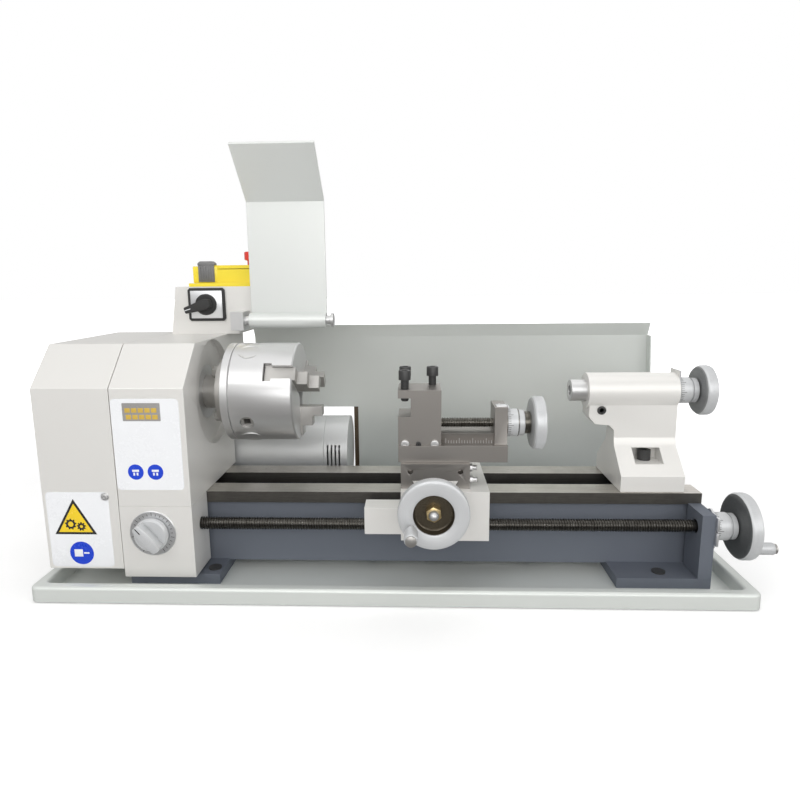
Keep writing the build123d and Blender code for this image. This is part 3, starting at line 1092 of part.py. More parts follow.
for y0, y1 in ears:
    lid = lid - box(HINGE_X - ear_r - GAP, HINGE_X + ear_r + GAP, y0 - GAP, y1 + GAP, LID_Z - 4, LID_Z + 4)
lid = lid - rod_y(STOP_Y0, STOP_Y1, HINGE_X, LID_Z, LID_PIN_R + RUN)
parts["switch_lid"] = lid - rod_z(LID_Z - 1, LID_Z + LID_T + 1, MUSHROOM_X, STOP_MID_Y, MUSHROOM_STEM_R + RUN)
parts["mushroom_button"] = (rod_z(LID_Z - GAP, LID_Z + 8, MUSHROOM_X, STOP_MID_Y, MUSHROOM_STEM_R)
                            + rod_z(LID_Z + 7.5, LID_Z + 15, MUSHROOM_X, STOP_MID_Y, MUSHROOM_R))

# --- chuck guard -------------------------------------------------------------------------------------
arbor_end = GUARD_X1 + 4
block = ARBOR_BLOCK_HALF
arbor = box(TOWER_BEVEL_X - 1, GUARD_X0 - 4, GUARD_Y - block, TOWER_Y0, GUARD_Z - block, GUARD_Z + block)
arbor = arbor + rod_x(GUARD_X0 - 5, arbor_end, GUARD_Y, GUARD_Z, ARBOR_R)
parts["guard_arbor"] = group(arbor, rod_x(arbor_end, arbor_end + 2.5, GUARD_Y, GUARD_Z, ARBOR_R + 2))


def chuck_guard():
    """The bent guard sheet on its hinge tube; it stands up behind the chuck when it is open."""
    top = GUARD_Z + GUARD_H
    dy = GUARD_BENT * math.sin(math.radians(GUARD_LEAN))
    dz = GUARD_BENT * math.cos(math.radians(GUARD_LEAN))
    y = GUARD_Y + TUBE_R - GUARD_T
    outline = [(y, GUARD_Z), (y + GUARD_T, GUARD_Z), (y + GUARD_T, top + 1), (y + GUARD_T - dy, top + 1 + dz),
               (y - dy, top - 1 + dz), (y, top - 1)]
    guard = rod_x(GUARD_X0, GUARD_X1, GUARD_Y, GUARD_Z, TUBE_R) + prism_x(outline, GUARD_X0, GUARD_X1)
    return guard - rod_x(GUARD_X0 - 1, GUARD_X1 + 1, GUARD_Y, GUARD_Z, ARBOR_R + RUN)


parts["chuck_guard"] = chuck_guard()

os.makedirs("parts", exist_ok=True)
for name, shape in parts.items():
    export_step(shape, f"parts/{name}.step")
print(len(parts), "pieces")
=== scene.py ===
"""Looks of a small bench metal lathe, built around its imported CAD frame.

Lengths are in millimetres until a piece is placed. +X runs from the headstock to the tailstock,
the operator stands on the -Y side and +Z is up. Each sub-assembly is a class that builds its pieces.
"""

from __future__ import annotations

import json
import logging
import math
from collections.abc import Callable, Sequence
from dataclasses import dataclass, field, replace
from enum import Enum

import bmesh
import bpy
from mathutils import Matrix, Vector

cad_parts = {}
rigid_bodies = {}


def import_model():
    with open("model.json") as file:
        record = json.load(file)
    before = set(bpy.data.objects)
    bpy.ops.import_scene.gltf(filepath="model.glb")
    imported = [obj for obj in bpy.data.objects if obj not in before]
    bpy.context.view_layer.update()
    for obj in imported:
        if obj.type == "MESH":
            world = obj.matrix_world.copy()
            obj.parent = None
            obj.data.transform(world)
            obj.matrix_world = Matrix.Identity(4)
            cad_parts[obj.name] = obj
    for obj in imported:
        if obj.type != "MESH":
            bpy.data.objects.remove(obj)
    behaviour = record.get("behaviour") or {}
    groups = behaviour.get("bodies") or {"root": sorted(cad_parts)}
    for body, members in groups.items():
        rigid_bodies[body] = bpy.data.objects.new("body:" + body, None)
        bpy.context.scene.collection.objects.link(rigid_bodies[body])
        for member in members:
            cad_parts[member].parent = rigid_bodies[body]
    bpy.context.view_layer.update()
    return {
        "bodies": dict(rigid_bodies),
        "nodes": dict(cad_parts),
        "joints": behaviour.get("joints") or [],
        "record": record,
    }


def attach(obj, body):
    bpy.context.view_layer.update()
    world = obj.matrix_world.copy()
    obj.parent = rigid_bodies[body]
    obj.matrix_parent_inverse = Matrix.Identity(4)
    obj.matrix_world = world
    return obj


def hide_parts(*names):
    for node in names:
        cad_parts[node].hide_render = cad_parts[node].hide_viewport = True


LOG = logging.getLogger("bench_lathe")
MM = 0.001
TURN = 2 * math.pi
SMOOTH_ANGLE = math.radians(34)
UPRIGHT = Matrix(((1, 0, 0), (0, 0, 1), (0, 1, 0))).to_4x4()

RGB = tuple[float, float, float]
Point = tuple[float, float, float]
Flat = tuple[float, float]

AXIS_Z = 143.0
LEAD_Y, LEAD_Z = -50.0, 47.6
CROSS_X, CROSS_Z = 33.0, 73.6
TOP_Y, TOP_Z = -38.6, 125.3


class Axis(Enum):
    """The direction that a turned or stretched shape runs along."""

    X = "x"
    Y = "y"
    Z = "z"

    def frame(self, centre: Point = (0.0, 0.0, 0.0)) -> Matrix:
        """Gives the placement whose own +Z runs along this axis.

        Args:
            centre: Where the placement's origin goes.

        Returns:
            A 4x4 matrix.
        """
        rows = {
            Axis.X: ((0, 0, 1), (1, 0, 0), (0, 1, 0)),
            Axis.Y: ((0, 1, 0), (0, 0, 1), (1, 0, 0)),
            Axis.Z: ((1, 0, 0), (0, 1, 0), (0, 0, 1)),
        }[self]
        return Matrix.Translation(centre) @ Matrix(rows).to_4x4()


class Texture(Enum):
    """The kinds of surface detail a finish can have."""

    PAINT = "paint_skin"
    CAST = "cast_skin"
    GROUND = "ground_steel"
    TURNED = "turned_rings"
    MOULDED = "moulded_skin"


# --- shader groups -----------------------------------------------------------------------------------


@dataclass
class Graph:
    """A node tree with short ways to add nodes and links."""

    tree: bpy.types.NodeTree

    def add(self, kind: str, links: dict[int | str, object] | None = None,
            **settings: object) -> bpy.types.Node:
        """Adds one node.

        Args:
            kind: The node type's name without its ShaderNode prefix.
            links: For each input, an output socket to link or a plain value to set.
            **settings: Attributes to set on the node.

        Returns:
            The new node.
        """
        full = kind if kind.startswith("NodeGroup") else "ShaderNode" + kind
        node = self.tree.nodes.new(full)
        for name, value in settings.items():
            setattr(node, name, value)
        for key, value in (links or {}).items():
            if isinstance(value, bpy.types.NodeSocket):
                self.tree.links.new(value, node.inputs[key])
            else:
                node.inputs[key].default_value = value
        return node

    def math(self, operation: str, first: object, second: object = 0.5,
             clamp: bool = False) -> bpy.types.NodeSocket:
        """Adds a Math node and gives its output.

        Args:
            operation: The Math node's operation.
            first: Its first input, a socket or a number.
            second: Its second input.
            clamp: Whether the result stays from 0 to 1.

        Returns:
            The output socket.
        """
        return self.add("Math", {0: first, 1: second}, operation=operation, use_clamp=clamp).outputs[0]

    def noise(self, vector: bpy.types.NodeSocket, scale: object, detail: float = 3.0) -> bpy.types.NodeSocket:
        """Adds a Noise Texture and gives its factor output."""
        node = self.add("TexNoise", {"Vector": vector, "Scale": scale, "Detail": detail, "Roughness": 0.6})
        return node.outputs["Fac"]

    def remap(self, value: bpy.types.NodeSocket, low: float, high: float, to_low: float = 0.0,
              to_high: float = 1.0) -> bpy.types.NodeSocket:
        """Adds a clamped Map Range node and gives its output."""
        node = self.add("MapRange", {0: value, 1: low, 2: high, 3: to_low, 4: to_high})
        return node.outputs[0]


class ShaderGroups:
    """The shader node groups that the finishes share, each built once."""

    _made: dict[str, bpy.types.NodeTree] = {}

    @classmethod
    def get(cls, name: str) -> bpy.types.NodeTree:
        """Gives the group of that name, building it at first use."""
        if name not in cls._made:
            cls._made[name] = getattr(cls, "_" + name)(name)
        return cls._made[name]

    @staticmethod
    def _start(name: str, inputs: dict[str, float | None], outputs: Sequence[str]) -> tuple[Graph, object,
                                                                                            object]:
        """Starts a group.

        Args:
            name: The group's name.
            inputs: Each input's start value, with None for a vector.
            outputs: The float outputs' names.

        Returns:
            Its graph, its input node's outputs and its output node's inputs.
        """
        tree = bpy.data.node_groups.new(name, "ShaderNodeTree")
        for key, value in inputs.items():
            kind = "NodeSocketVector" if value is None else "NodeSocketFloat"
            made = tree.interface.new_socket(key, in_out="INPUT", socket_type=kind)
            if value is not None:
                made.default_value = value
        for key in outputs:
            tree.interface.new_socket(key, in_out="OUTPUT", socket_type="NodeSocketFloat")
        graph = Graph(tree)
        return graph, graph.add("NodeGroupInput").outputs, graph.add("NodeGroupOutput").inputs

    @classmethod
    def _pair(cls, name: str, build: Callable[[Graph, object], tuple[object, object]]) -> bpy.types.NodeTree:
        """Makes a texture group, whose outputs are Tone and Height, from a function that builds them."""
        graph, ins, outs = cls._start(name, {"Vector": None, "Scale": 300.0}, ("Tone", "Height"))
        tone, height = build(graph, ins)
        graph.tree.links.new(tone, outs["Tone"])
        graph.tree.links.new(height, outs["Height"])
        return graph.tree

    @classmethod
    def _paint_skin(cls, name: str) -> bpy.types.NodeTree:
        """Sprayed paint: a broad faint cloud in the colour and a fine orange peel in the surface."""

        def build(graph: Graph, ins: object) -> tuple[object, object]:
            cloud = graph.noise(ins["Vector"], 9.0, 4.0)
            speck = graph.noise(ins["Vector"], ins["Scale"], 2.0)
            tone = graph.math("ADD", graph.math("MULTIPLY", cloud, 0.72), graph.math("MULTIPLY", speck, 0.28))
            return graph.remap(tone, 0.32, 0.68), speck

        return cls._pair(name, build)

    @classmethod
    def _cast_skin(cls, name: str) -> bpy.types.NodeTree:
        """Thick paint over rough cast iron: lumps, pits and chipped light specks."""

        def build(graph: Graph, ins: object) -> tuple[object, object]:
            lumps = graph.noise(ins["Vector"], ins["Scale"], 5.0)
            broad = graph.noise(ins["Vector"], 34.0, 4.0)
            cells = graph.add("TexVoronoi", {"Vector": ins["Vector"], "Scale": 420.0})
            pits = graph.remap(cells.outputs["Distance"], 0.05, 0.5)
            height = graph.math("ADD", graph.math("MULTIPLY", lumps, 0.75),
                                graph.math("MULTIPLY", pits, 0.25))
            tone = graph.math("ADD", graph.math("MULTIPLY", lumps, 0.5), graph.math("MULTIPLY", broad, 0.5))
            return graph.remap(tone, 0.36, 0.66), height

        return cls._pair(name, build)

    @classmethod
    def _ground_steel(cls, name: str) -> bpy.types.NodeTree:
        """Ground or milled steel: long fine streaks along the local Z with dull blotches."""

        def build(graph: Graph, ins: object) -> tuple[object, object]:
            stretched = graph.add("Mapping", {"Vector": ins["Vector"], "Scale": (1.0, 1.0, 0.03)})
            streak = graph.noise(stretched.outputs[0], ins["Scale"], 4.0)
            blotch = graph.noise(ins["Vector"], 55.0, 5.0)
            tone = graph.math("ADD", graph.math("MULTIPLY", streak, 0.55),
                              graph.math("MULTIPLY", blotch, 0.45))
            return graph.remap(tone, 0.34, 0.66), streak

        return cls._pair(name, build)

    @classmethod
    def _turned_rings(cls, name: str) -> bpy.types.NodeTree:
        """Turned metal: fine rings round the local Z."""

        def build(graph: Graph, ins: object) -> tuple[object, object]:
            parts = graph.add("SeparateXYZ", {0: ins["Vector"]}).outputs
            square = graph.math("ADD", graph.math("MULTIPLY", parts[0], parts[0]),
                                graph.math("MULTIPLY", parts[1], parts[1]))
            radius = graph.math("SQRT", square)
            along = graph.add("CombineXYZ", {0: radius, 1: parts[2], 2: 0.0}).outputs[0]
            ring = graph.noise(along, ins["Scale"], 3.0)
            broad = graph.noise(along, 70.0, 3.0)
            tone = graph.math("ADD", graph.math("MULTIPLY", ring, 0.6), graph.math("MULTIPLY", broad, 0.4))
            return graph.remap(tone, 0.34, 0.66), ring

        return cls._pair(name, build)

    @classmethod
    def _moulded_skin(cls, name: str) -> bpy.types.NodeTree:
        """Moulded plastic or rubber: a fine even grain."""

        def build(graph: Graph, ins: object) -> tuple[object, object]:
            grain = graph.noise(ins["Vector"], ins["Scale"], 2.0)
            broad = graph.noise(ins["Vector"], 40.0, 3.0)
            return graph.remap(graph.math("ADD", graph.math("MULTIPLY", grain, 0.4),
                                          graph.math("MULTIPLY", broad, 0.6)), 0.35, 0.65), grain

        return cls._pair(name, build)

    @classmethod
    def _edge_wear(cls, name: str) -> bpy.types.NodeTree:
        """A mask of rubbed edges, broken up by noise."""
        graph, ins, outs = cls._start(name, {"Vector": None, "Radius": 0.001, "Amount": 1.0}, ("Mask",))
        rounded = graph.add("Bevel", {"Radius": ins["Radius"]}, samples=4)
        flat = graph.add("NewGeometry")
        dot = graph.add("VectorMath", {0: rounded.outputs[0], 1: flat.outputs["Normal"]},
                        operation="DOT_PRODUCT")
        edge = graph.remap(dot.outputs["Value"], 0.985, 0.80)
        broken = graph.remap(graph.noise(ins["Vector"], 260.0, 4.0), 0.36, 0.62)
        graph.tree.links.new(
            graph.math("MULTIPLY", graph.math("MULTIPLY", edge, broken), ins["Amount"], clamp=True),
            outs["Mask"])
        return graph.tree

    @classmethod
    def _painted_corner_shade(cls, name: str) -> bpy.types.NodeTree:
        """A mask of painted shade in corners, found by ambient occlusion and broken up by noise."""
        graph, ins, outs = cls._start(name, {"Vector": None, "Reach": 0.012, "Amount": 0.5}, ("Mask",))
        shade = graph.add("AmbientOcclusion", {"Distance": ins["Reach"]}, samples=4)
        corner = graph.remap(shade.outputs["AO"], 0.85, 0.25)
        cloud = graph.remap(graph.noise(ins["Vector"], 90.0, 4.0), 0.2, 0.7, 0.4, 1.0)
        graph.tree.links.new(
            graph.math("MULTIPLY", graph.math("MULTIPLY", corner, cloud), ins["Amount"], clamp=True),
            outs["Mask"])
        return graph.tree


@dataclass(frozen=True)
class Finish:
    """One surface finish.

    Attributes:
        name: Its name, which the material takes.
        slot: The record's material slot it stands for; not used.
        base: Its main colour.
        second: The colour its texture runs to.
        rough: Its lowest and highest roughness.
        metallic: How metallic it is.
        texture: The kind of its detail.
        scale: The scale of its detail.
        bump: The height of its detail, in millimetres.
        wear: How far its edges are rubbed.
        worn: The colour of the rubbed edges.
        corner_shade: How much painted shade darkens its corners.
        axis: The axis that its streaks or rings run along or round.
        centre: A point on that axis, in millimetres.
    """

    name: str
    slot: str
    base: RGB
    second: RGB
    rough: Flat = (0.4, 0.5)
    metallic: float = 0.0
    texture: Texture = Texture.PAINT
    scale: float = 300.0
    bump: float = 0.02
    wear: float = 0.0
    worn: RGB = (0.6, 0.6, 0.6)
    corner_shade: float = 0.35
    coat: float = 0.0
    axis: Axis = Axis.Z
    centre: Point = (0.0, 0.0, 0.0)

    def about(self, name: str, axis: Axis, centre: Point) -> Finish:
        """Gives the same finish turned about another axis, under a name of its own."""
        return replace(self, name=name, axis=axis, centre=centre)

    def material(self) -> bpy.types.Material:
        """Gives the finish's material, building it at first use."""
        return bpy.data.materials.get(self.name) or self._build()

    def _build(self) -> bpy.types.Material:
        """Builds the material's nodes."""
        made = bpy.data.materials.new(self.name)
        made.use_nodes = True
        made.diffuse_color = (*self.base, 1.0)
        graph = Graph(made.node_tree)
        shader = made.node_tree.nodes["Principled BSDF"]
        place = graph.add("TexCoord").outputs["Object"]
        inverse = self.axis.frame(tuple(c * MM for c in self.centre)).inverted()
        mapped = graph.add("Mapping", {"Vector": place, "Location": inverse.to_translation(),
                                       "Rotation": inverse.to_euler("XYZ")}).outputs[0]
        skin = self._group(graph, self.texture.value, {"Vector": mapped, "Scale": self.scale})
        colour = self._mix(graph, skin.outputs["Tone"], (*self.base, 1.0), (*self.second, 1.0))
        # painted shade: corners found by ambient occlusion are darkened towards a quarter of the base colour
        if self.corner_shade:
            shade_mask = self._group(graph, "painted_corner_shade", {"Vector": place, "Amount": self.corner_shade})
            dark = tuple(0.25 * c for c in self.base)
            colour = self._mix(graph, shade_mask.outputs["Mask"], colour, (*dark, 1.0))
        if self.wear:
            rub = self._group(graph, "edge_wear", {"Vector": place, "Amount": self.wear})
            colour = self._mix(graph, rub.outputs["Mask"], colour, (*self.worn, 1.0))
        graph.tree.links.new(colour, shader.inputs["Base Color"])
        rough = graph.remap(skin.outputs["Tone"], 0.0, 1.0, *self.rough)
        graph.tree.links.new(rough, shader.inputs["Roughness"])
        bump = graph.add("Bump", {"Height": skin.outputs["Height"], "Distance": self.bump * MM,
                                  "Strength": 1.0})
        graph.tree.links.new(bump.outputs[0], shader.inputs["Normal"])
        shader.inputs["Metallic"].default_value = self.metallic
        shader.inputs["Coat Weight"].default_value = self.coat
        shader.inputs["Coat Roughness"].default_value = 0.2
        return made

    @staticmethod
    def _group(graph: Graph, name: str, links: dict[str, object]) -> bpy.types.Node:
        """Places a shared shader group in a material."""
        node = graph.tree.nodes.new("ShaderNodeGroup")
        node.node_tree = ShaderGroups.get(name)
        for key, value in links.items():
            if isinstance(value, bpy.types.NodeSocket):
                graph.tree.links.new(value, node.inputs[key])
            else:
                node.inputs[key].default_value = value
        return node

    @staticmethod
    def _mix(graph: Graph, factor: object, first: object, second: object) -> bpy.types.NodeSocket:
        """Adds a colour mix and gives its output."""
        return graph.add("Mix", {0: factor, 6: first, 7: second}, data_type="RGBA").outputs[2]


GREY_PAINT = Finish("warm_grey_paint", "warm_grey_paint", (0.55, 0.553, 0.535), (0.505, 0.508, 0.49),
                    (0.34, 0.46),
                    scale=420.0, bump=0.012, wear=0.25, worn=(0.72, 0.72, 0.70), corner_shade=0.45, coat=0.15)
TRAY_PAINT = Finish("tray_paint", "tray_paint", (0.55, 0.585, 0.565), (0.50, 0.535, 0.515), (0.36, 0.48),
                    scale=380.0, bump=0.015, wear=0.3, worn=(0.7, 0.72, 0.7), corner_shade=0.4, coat=0.12)
GUARD_PAINT = replace(TRAY_PAINT, name="guard_paint", slot="guard_paint", base=(0.50, 0.505, 0.495),
                      second=(0.455, 0.46, 0.45))
BED_PAINT = Finish("bed_paint", "bed_paint", (0.046, 0.047, 0.050), (0.029, 0.030, 0.033), (0.36, 0.55),
                   texture=Texture.CAST, scale=150.0, bump=0.22, wear=0.5, worn=(0.30, 0.32, 0.35), corner_shade=0.6,
                   coat=0.2)
BRIGHT_STEEL = Finish("bright_steel", "bright_steel", (0.47, 0.455, 0.42), (0.25, 0.235, 0.20), (0.12, 0.26),
                      1.0,
                      Texture.TURNED, 2600.0, 0.006, 0.4, (0.85, 0.85, 0.84), 0.5, axis=Axis.X,
                      centre=(0, 0, AXIS_Z))
TOOL_STEEL = Finish("tool_steel", "tool_steel", (0.22, 0.21, 0.185), (0.085, 0.078, 0.065), (0.2, 0.36), 1.0,
                    Texture.TURNED, 2200.0, 0.006, 0.5, (0.8, 0.79, 0.76), 0.5, axis=Axis.X,
                    centre=(0, 0, AXIS_Z))
WAY_STEEL = Finish("way_steel", "bed_paint", (0.66, 0.63, 0.585), (0.48, 0.455, 0.42), (0.26, 0.4), 1.0,
                   Texture.GROUND, 1800.0, 0.004, 0.0, corner_shade=0.5, axis=Axis.X)
WAY_EDGE = replace(WAY_STEEL, name="way_edge", base=(0.20, 0.19, 0.175), second=(0.12, 0.115, 0.105),
                   rough=(0.3, 0.5))
SLIDE_STEEL = Finish("slide_steel", "slide_steel", (0.034, 0.030, 0.025), (0.014, 0.012, 0.010), (0.22, 0.4),
                     0.5,
                     Texture.GROUND, 1300.0, 0.006, 0.25, (0.50, 0.48, 0.44), 0.5, axis=Axis.X)
SATIN = Finish("satin_metal", "satin_metal", (0.66, 0.67, 0.68), (0.58, 0.59, 0.60), (0.36, 0.46), 0.35,
               Texture.TURNED, 1800.0, 0.004, 0.3, (0.82, 0.82, 0.82), 0.35)
# Copies of the satin metal at three brightnesses for the wheels' reverse sides are painted shade and painted
# light; the brown hub finish is painted shade in the recesses.
SHADED_WHEEL_BACK = replace(SATIN, name="wheel_back_shaded", base=(0.115, 0.12, 0.122), second=(0.085, 0.09, 0.092),
                     metallic=0.3)
HALF_LIT_WHEEL_BACK = replace(SATIN, name="wheel_back_half_lit", base=(0.25, 0.255, 0.258), second=(0.20, 0.205, 0.208),
                    metallic=0.3)
LIT_WHEEL_BACK = replace(SATIN, name="wheel_back_lit", base=(0.46, 0.465, 0.465), second=(0.40, 0.405, 0.405))
SHADED_HUB_BROWN = replace(SATIN, name="hub_shaded_brown", base=(0.17, 0.145, 0.105), second=(0.09, 0.075, 0.052),
                    rough=(0.24, 0.4), metallic=0.8)
BLACK_STEEL = Finish("black_steel", "black_steel", (0.018, 0.018, 0.019), (0.034, 0.034, 0.036), (0.3, 0.46),
                     0.6,
                     Texture.MOULDED, 900.0, 0.006, 0.45, (0.22, 0.22, 0.22), 0.3)
BRONZE = Finish("bronze", "bronze", (0.46, 0.31, 0.12), (0.36, 0.23, 0.08), (0.28, 0.4), 1.0, Texture.GROUND,
                900.0, 0.005, 0.4, (0.8, 0.62, 0.34), 0.4)
GEAR_PLASTIC = Finish("gear_plastic", "gear_plastic", (0.05, 0.05, 0.052), (0.08, 0.08, 0.083), (0.4, 0.52),
                      texture=Texture.MOULDED, scale=900.0)
PULLEY = Finish("pulley_metal", "pulley_metal", (0.5, 0.5, 0.5), (0.4, 0.4, 0.4), (0.3, 0.4), 1.0,
                Texture.GROUND,
                900.0, 0.004)
MOTOR_PAINT = replace(GREY_PAINT, name="motor_paint", slot="motor_paint", base=(0.56, 0.565, 0.55),
                      second=(0.50, 0.505, 0.49))
BELT = Finish("belt_rubber", "belt_rubber", (0.016, 0.016, 0.016), (0.03, 0.03, 0.03), (0.6, 0.75),
              texture=Texture.MOULDED, scale=700.0, bump=0.03)
PLATE = Finish("plate_metal", "plate_metal", (0.74, 0.745, 0.74), (0.66, 0.665, 0.66), (0.3, 0.42), 0.35,
               Texture.GROUND, 1200.0, 0.003, corner_shade=0.2, axis=Axis.X)
BLACK_PLASTIC = Finish("black_plastic", "black_plastic", (0.012, 0.012, 0.013), (0.022, 0.022, 0.023),
                       (0.32, 0.46), texture=Texture.MOULDED, scale=1100.0, bump=0.008, wear=0.3,
                       worn=(0.1, 0.1, 0.1))
YELLOW = Finish("yellow_plastic", "yellow_plastic", (0.86, 0.60, 0.02), (0.80, 0.53, 0.015), (0.34, 0.46),
                texture=Texture.MOULDED, scale=900.0, bump=0.006, corner_shade=0.4)
GREY_PLASTIC = replace(BLACK_PLASTIC, name="grey_plastic", slot="yellow_plastic", base=(0.22, 0.22, 0.22),
                       second=(0.17, 0.17, 0.17))
RED = Finish("red_plastic", "red_plastic", (0.62, 0.022, 0.018), (0.55, 0.016, 0.014), (0.3, 0.42),
             texture=Texture.MOULDED, scale=900.0, bump=0.006, coat=0.2)
GREEN = replace(RED, name="green_plastic", slot="green_plastic", base=(0.02, 0.32, 0.08),
                second=(0.016, 0.26, 0.06))
LABEL = Finish("label_film", "warm_grey_paint", (0.83, 0.84, 0.86), (0.80, 0.81, 0.83), (0.22, 0.3),
               texture=Texture.MOULDED, scale=600.0, bump=0.002, corner_shade=0.0, coat=0.3)
LABEL_BLUE = replace(LABEL, name="label_blue", base=(0.008, 0.055, 0.62), second=(0.007, 0.048, 0.56))
LABEL_YELLOW = replace(LABEL, name="label_yellow", base=(0.86, 0.62, 0.02), second=(0.82, 0.57, 0.02))
LABEL_INK = replace(LABEL, name="label_ink", base=(0.02, 0.02, 0.02), second=(0.03, 0.03, 0.03))
LABEL_GOLD = replace(LABEL, name="label_gold", base=(0.66, 0.45, 0.08), second=(0.56, 0.37, 0.06))
LABEL_GREY = replace(LABEL, name="label_grey", base=(0.34, 0.33, 0.32), second=(0.28, 0.27, 0.26))
# A dark brown sheet that stands for the shade inside the splash guard's window: painted shade.
WINDOW_SHADE = replace(GEAR_PLASTIC, name="window_painted_shade", slot="tray_paint", base=(0.10, 0.062, 0.03),
                      second=(0.055, 0.034, 0.018))


# --- making meshes -----------------------------------------------------------------------------------


@dataclass
class Piece:
    """One mesh piece in the making, in millimetres.

    Attributes:
        name: The piece's name.
        body: The CAD body it rides on.
        finishes: Its finishes, the first one being the main one.
        mesh: The bmesh being shaped.
    """

    name: str
    body: str
    finishes: Sequence[Finish]
    mesh: bmesh.types.BMesh = field(default_factory=bmesh.new)

    def _dress(self, before: set[bmesh.types.BMFace], finish: int) -> None:
        """Gives the faces made since before one of the finishes."""
        for face in self.mesh.faces:
            if face not in before:
                face.material_index = finish

    def _soften(self, verts: Sequence[bmesh.types.BMVert], width: float, steps: int) -> None:
        """Rounds the edges that join these vertices."""
        if width > 0:
            inside = set(verts)
            edges = [e for e in {e for v in verts for e in v.link_edges} if set(e.verts) <= inside]
            sharp = [e for e in edges if len(e.link_faces) == 2 and e.calc_face_angle(0) > 0.6]
            bmesh.ops.bevel(self.mesh, geom=sharp, offset=width, offset_type="OFFSET", segments=steps,
                            profile=0.5,
                            affect="EDGES", material=-1, clamp_overlap=True)

    def bar(self, low: Point, high: Point, soft: float = 0.0, finish: int = 0,
            turn: Matrix | None = None) -> Piece:
        """Adds a block between two corners, with rounded edges.

        Args:
            low: Its lowest corner.
            high: Its highest corner.
            soft: How far its edges are rounded.
            finish: The index of its finish.
            turn: A placement applied after the block is made.

        Returns:
            The piece itself.
        """
        a, b = Vector(low), Vector(high)
        shape = Matrix.LocRotScale((a + b) / 2, None, b - a)
        made = bmesh.ops.create_cube(self.mesh, size=1.0, matrix=(turn or Matrix()) @ shape)
        for face in {f for v in made["verts"] for f in v.link_faces}:
            face.material_index = finish
        self._soften(made["verts"], soft, 2)
        return self

    def prism(self, outline: Sequence[Flat], frame: Matrix, low: float, high: float, soft: float = 0.0,
              finish: int = 0) -> Piece:
        """Adds a flat outline drawn out along the frame's Z.

        Args:
            outline: Its corners in the frame's X and Y.
            frame: The placement.
            low: Where it starts along Z.
            high: Where it ends.
            soft: How far its edges are rounded.
            finish: The index of its finish.

        Returns:
            The piece itself.
        """
        before = set(self.mesh.faces)
        verts = [self.mesh.verts.new(frame @ Vector((u, v, low))) for u, v in outline]
        made = bmesh.ops.extrude_face_region(self.mesh, geom=[self.mesh.faces.new(verts)])
        top = [v for v in made["geom"] if isinstance(v, bmesh.types.BMVert)]
        bmesh.ops.translate(self.mesh, verts=top, vec=frame.to_3x3() @ Vector((0, 0, high - low)))
        self._soften(verts + top, soft, 2)
        self._dress(before, finish)
        return self

    def turned(self, profile: Sequence[Flat], frame: Matrix, steps: int = 64, closed: bool = False,
               finish: int = 0) -> Piece:
        """Adds a shape turned round the frame's Z.

        Args:
            profile: Its points as (along, radius).
            frame: The placement.
            steps: How many steps the turn takes.
            closed: Whether the profile's ends are joined, as for a ring.
            finish: The index of its finish.

        Returns:
            The piece itself.
        """
        before = set(self.mesh.faces)
        verts = [self.mesh.verts.new(frame @ Vector((r, 0, a))) for a, r in profile]
        pairs = list(zip(verts, verts[1:])) + ([(verts[-1], verts[0])] if closed else [])
        edges = [self.mesh.edges.new(pair) for pair in pairs]
        axis = frame.to_3x3() @ Vector((0, 0, 1))
        bmesh.ops.spin(self.mesh, geom=verts + edges, cent=frame.to_translation(), axis=axis, angle=TURN,
                       steps=steps, use_merge=True, dvec=(0, 0, 0))
        fresh = {v for f in self.mesh.faces if f not in before for v in f.verts}
        bmesh.ops.remove_doubles(self.mesh, verts=list(fresh), dist=1e-4)
        self._dress(before, finish)
        return self

    def thread(self, frame: Matrix, radius: float, pitch: float, low: float, high: float,
               finish: int = 0) -> Piece:
        """Adds a screw thread's ridge round the frame's Z.

        Args:
            frame: The placement.
            radius: The outer radius.
            pitch: How far it climbs in a turn.
            low: Where it starts along Z.
            high: Where it ends.
            finish: The index of its finish.

        Returns:
            The piece itself.
        """
        before = set(self.mesh.faces)
        per_turn = 14
        root = radius - 0.62 * pitch
        corners = ((root, low), (radius, low + 0.3 * pitch), (radius, low + 0.4 * pitch),
                   (root, low + 0.7 * pitch))
        verts = [self.mesh.verts.new(frame @ Vector((r, 0, a))) for r, a in corners]
        start = self.mesh.faces.new(verts)
        axis = frame.to_3x3() @ Vector((0, 0, 1))
        turns = (high - low) / pitch - 1
        steps = int(turns * per_turn)
        made = bmesh.ops.spin(self.mesh, geom=verts + list(start.edges), cent=frame.to_translation(),
                              axis=axis,
                              angle=TURN * steps / per_turn, steps=steps, use_merge=False,
                              dvec=axis * (pitch / per_turn))
        self.mesh.faces.new([v for v in made["geom_last"] if isinstance(v, bmesh.types.BMVert)])
        self._dress(before, finish)
        return self

    def ticks(self, frame: Matrix, radius: float, low: float, count: int, length: float, finish: int,
              wide: float = 0.28, every: int = 5) -> Piece:
        """Adds a ring of scale marks round the frame's Z, each a thin raised line.

        Args:
            frame: The placement.
            radius: The radius they lie on.
            low: Where they start along Z.
            count: How many there are.
            length: The length of a long one.
            finish: The index of their finish.
            wide: How wide one is.
            every: How many steps lie between two long ones.

        Returns:
            The piece itself.
        """
        for k in range(count):
            long = length if k % every == 0 else 0.55 * length
            turn = frame @ Matrix.Rotation(TURN * k / count, 4, "Z")
            self.bar((radius - 0.1, -wide / 2, low), (radius + 0.04, wide / 2, low + long), 0.0, finish, turn)
        return self

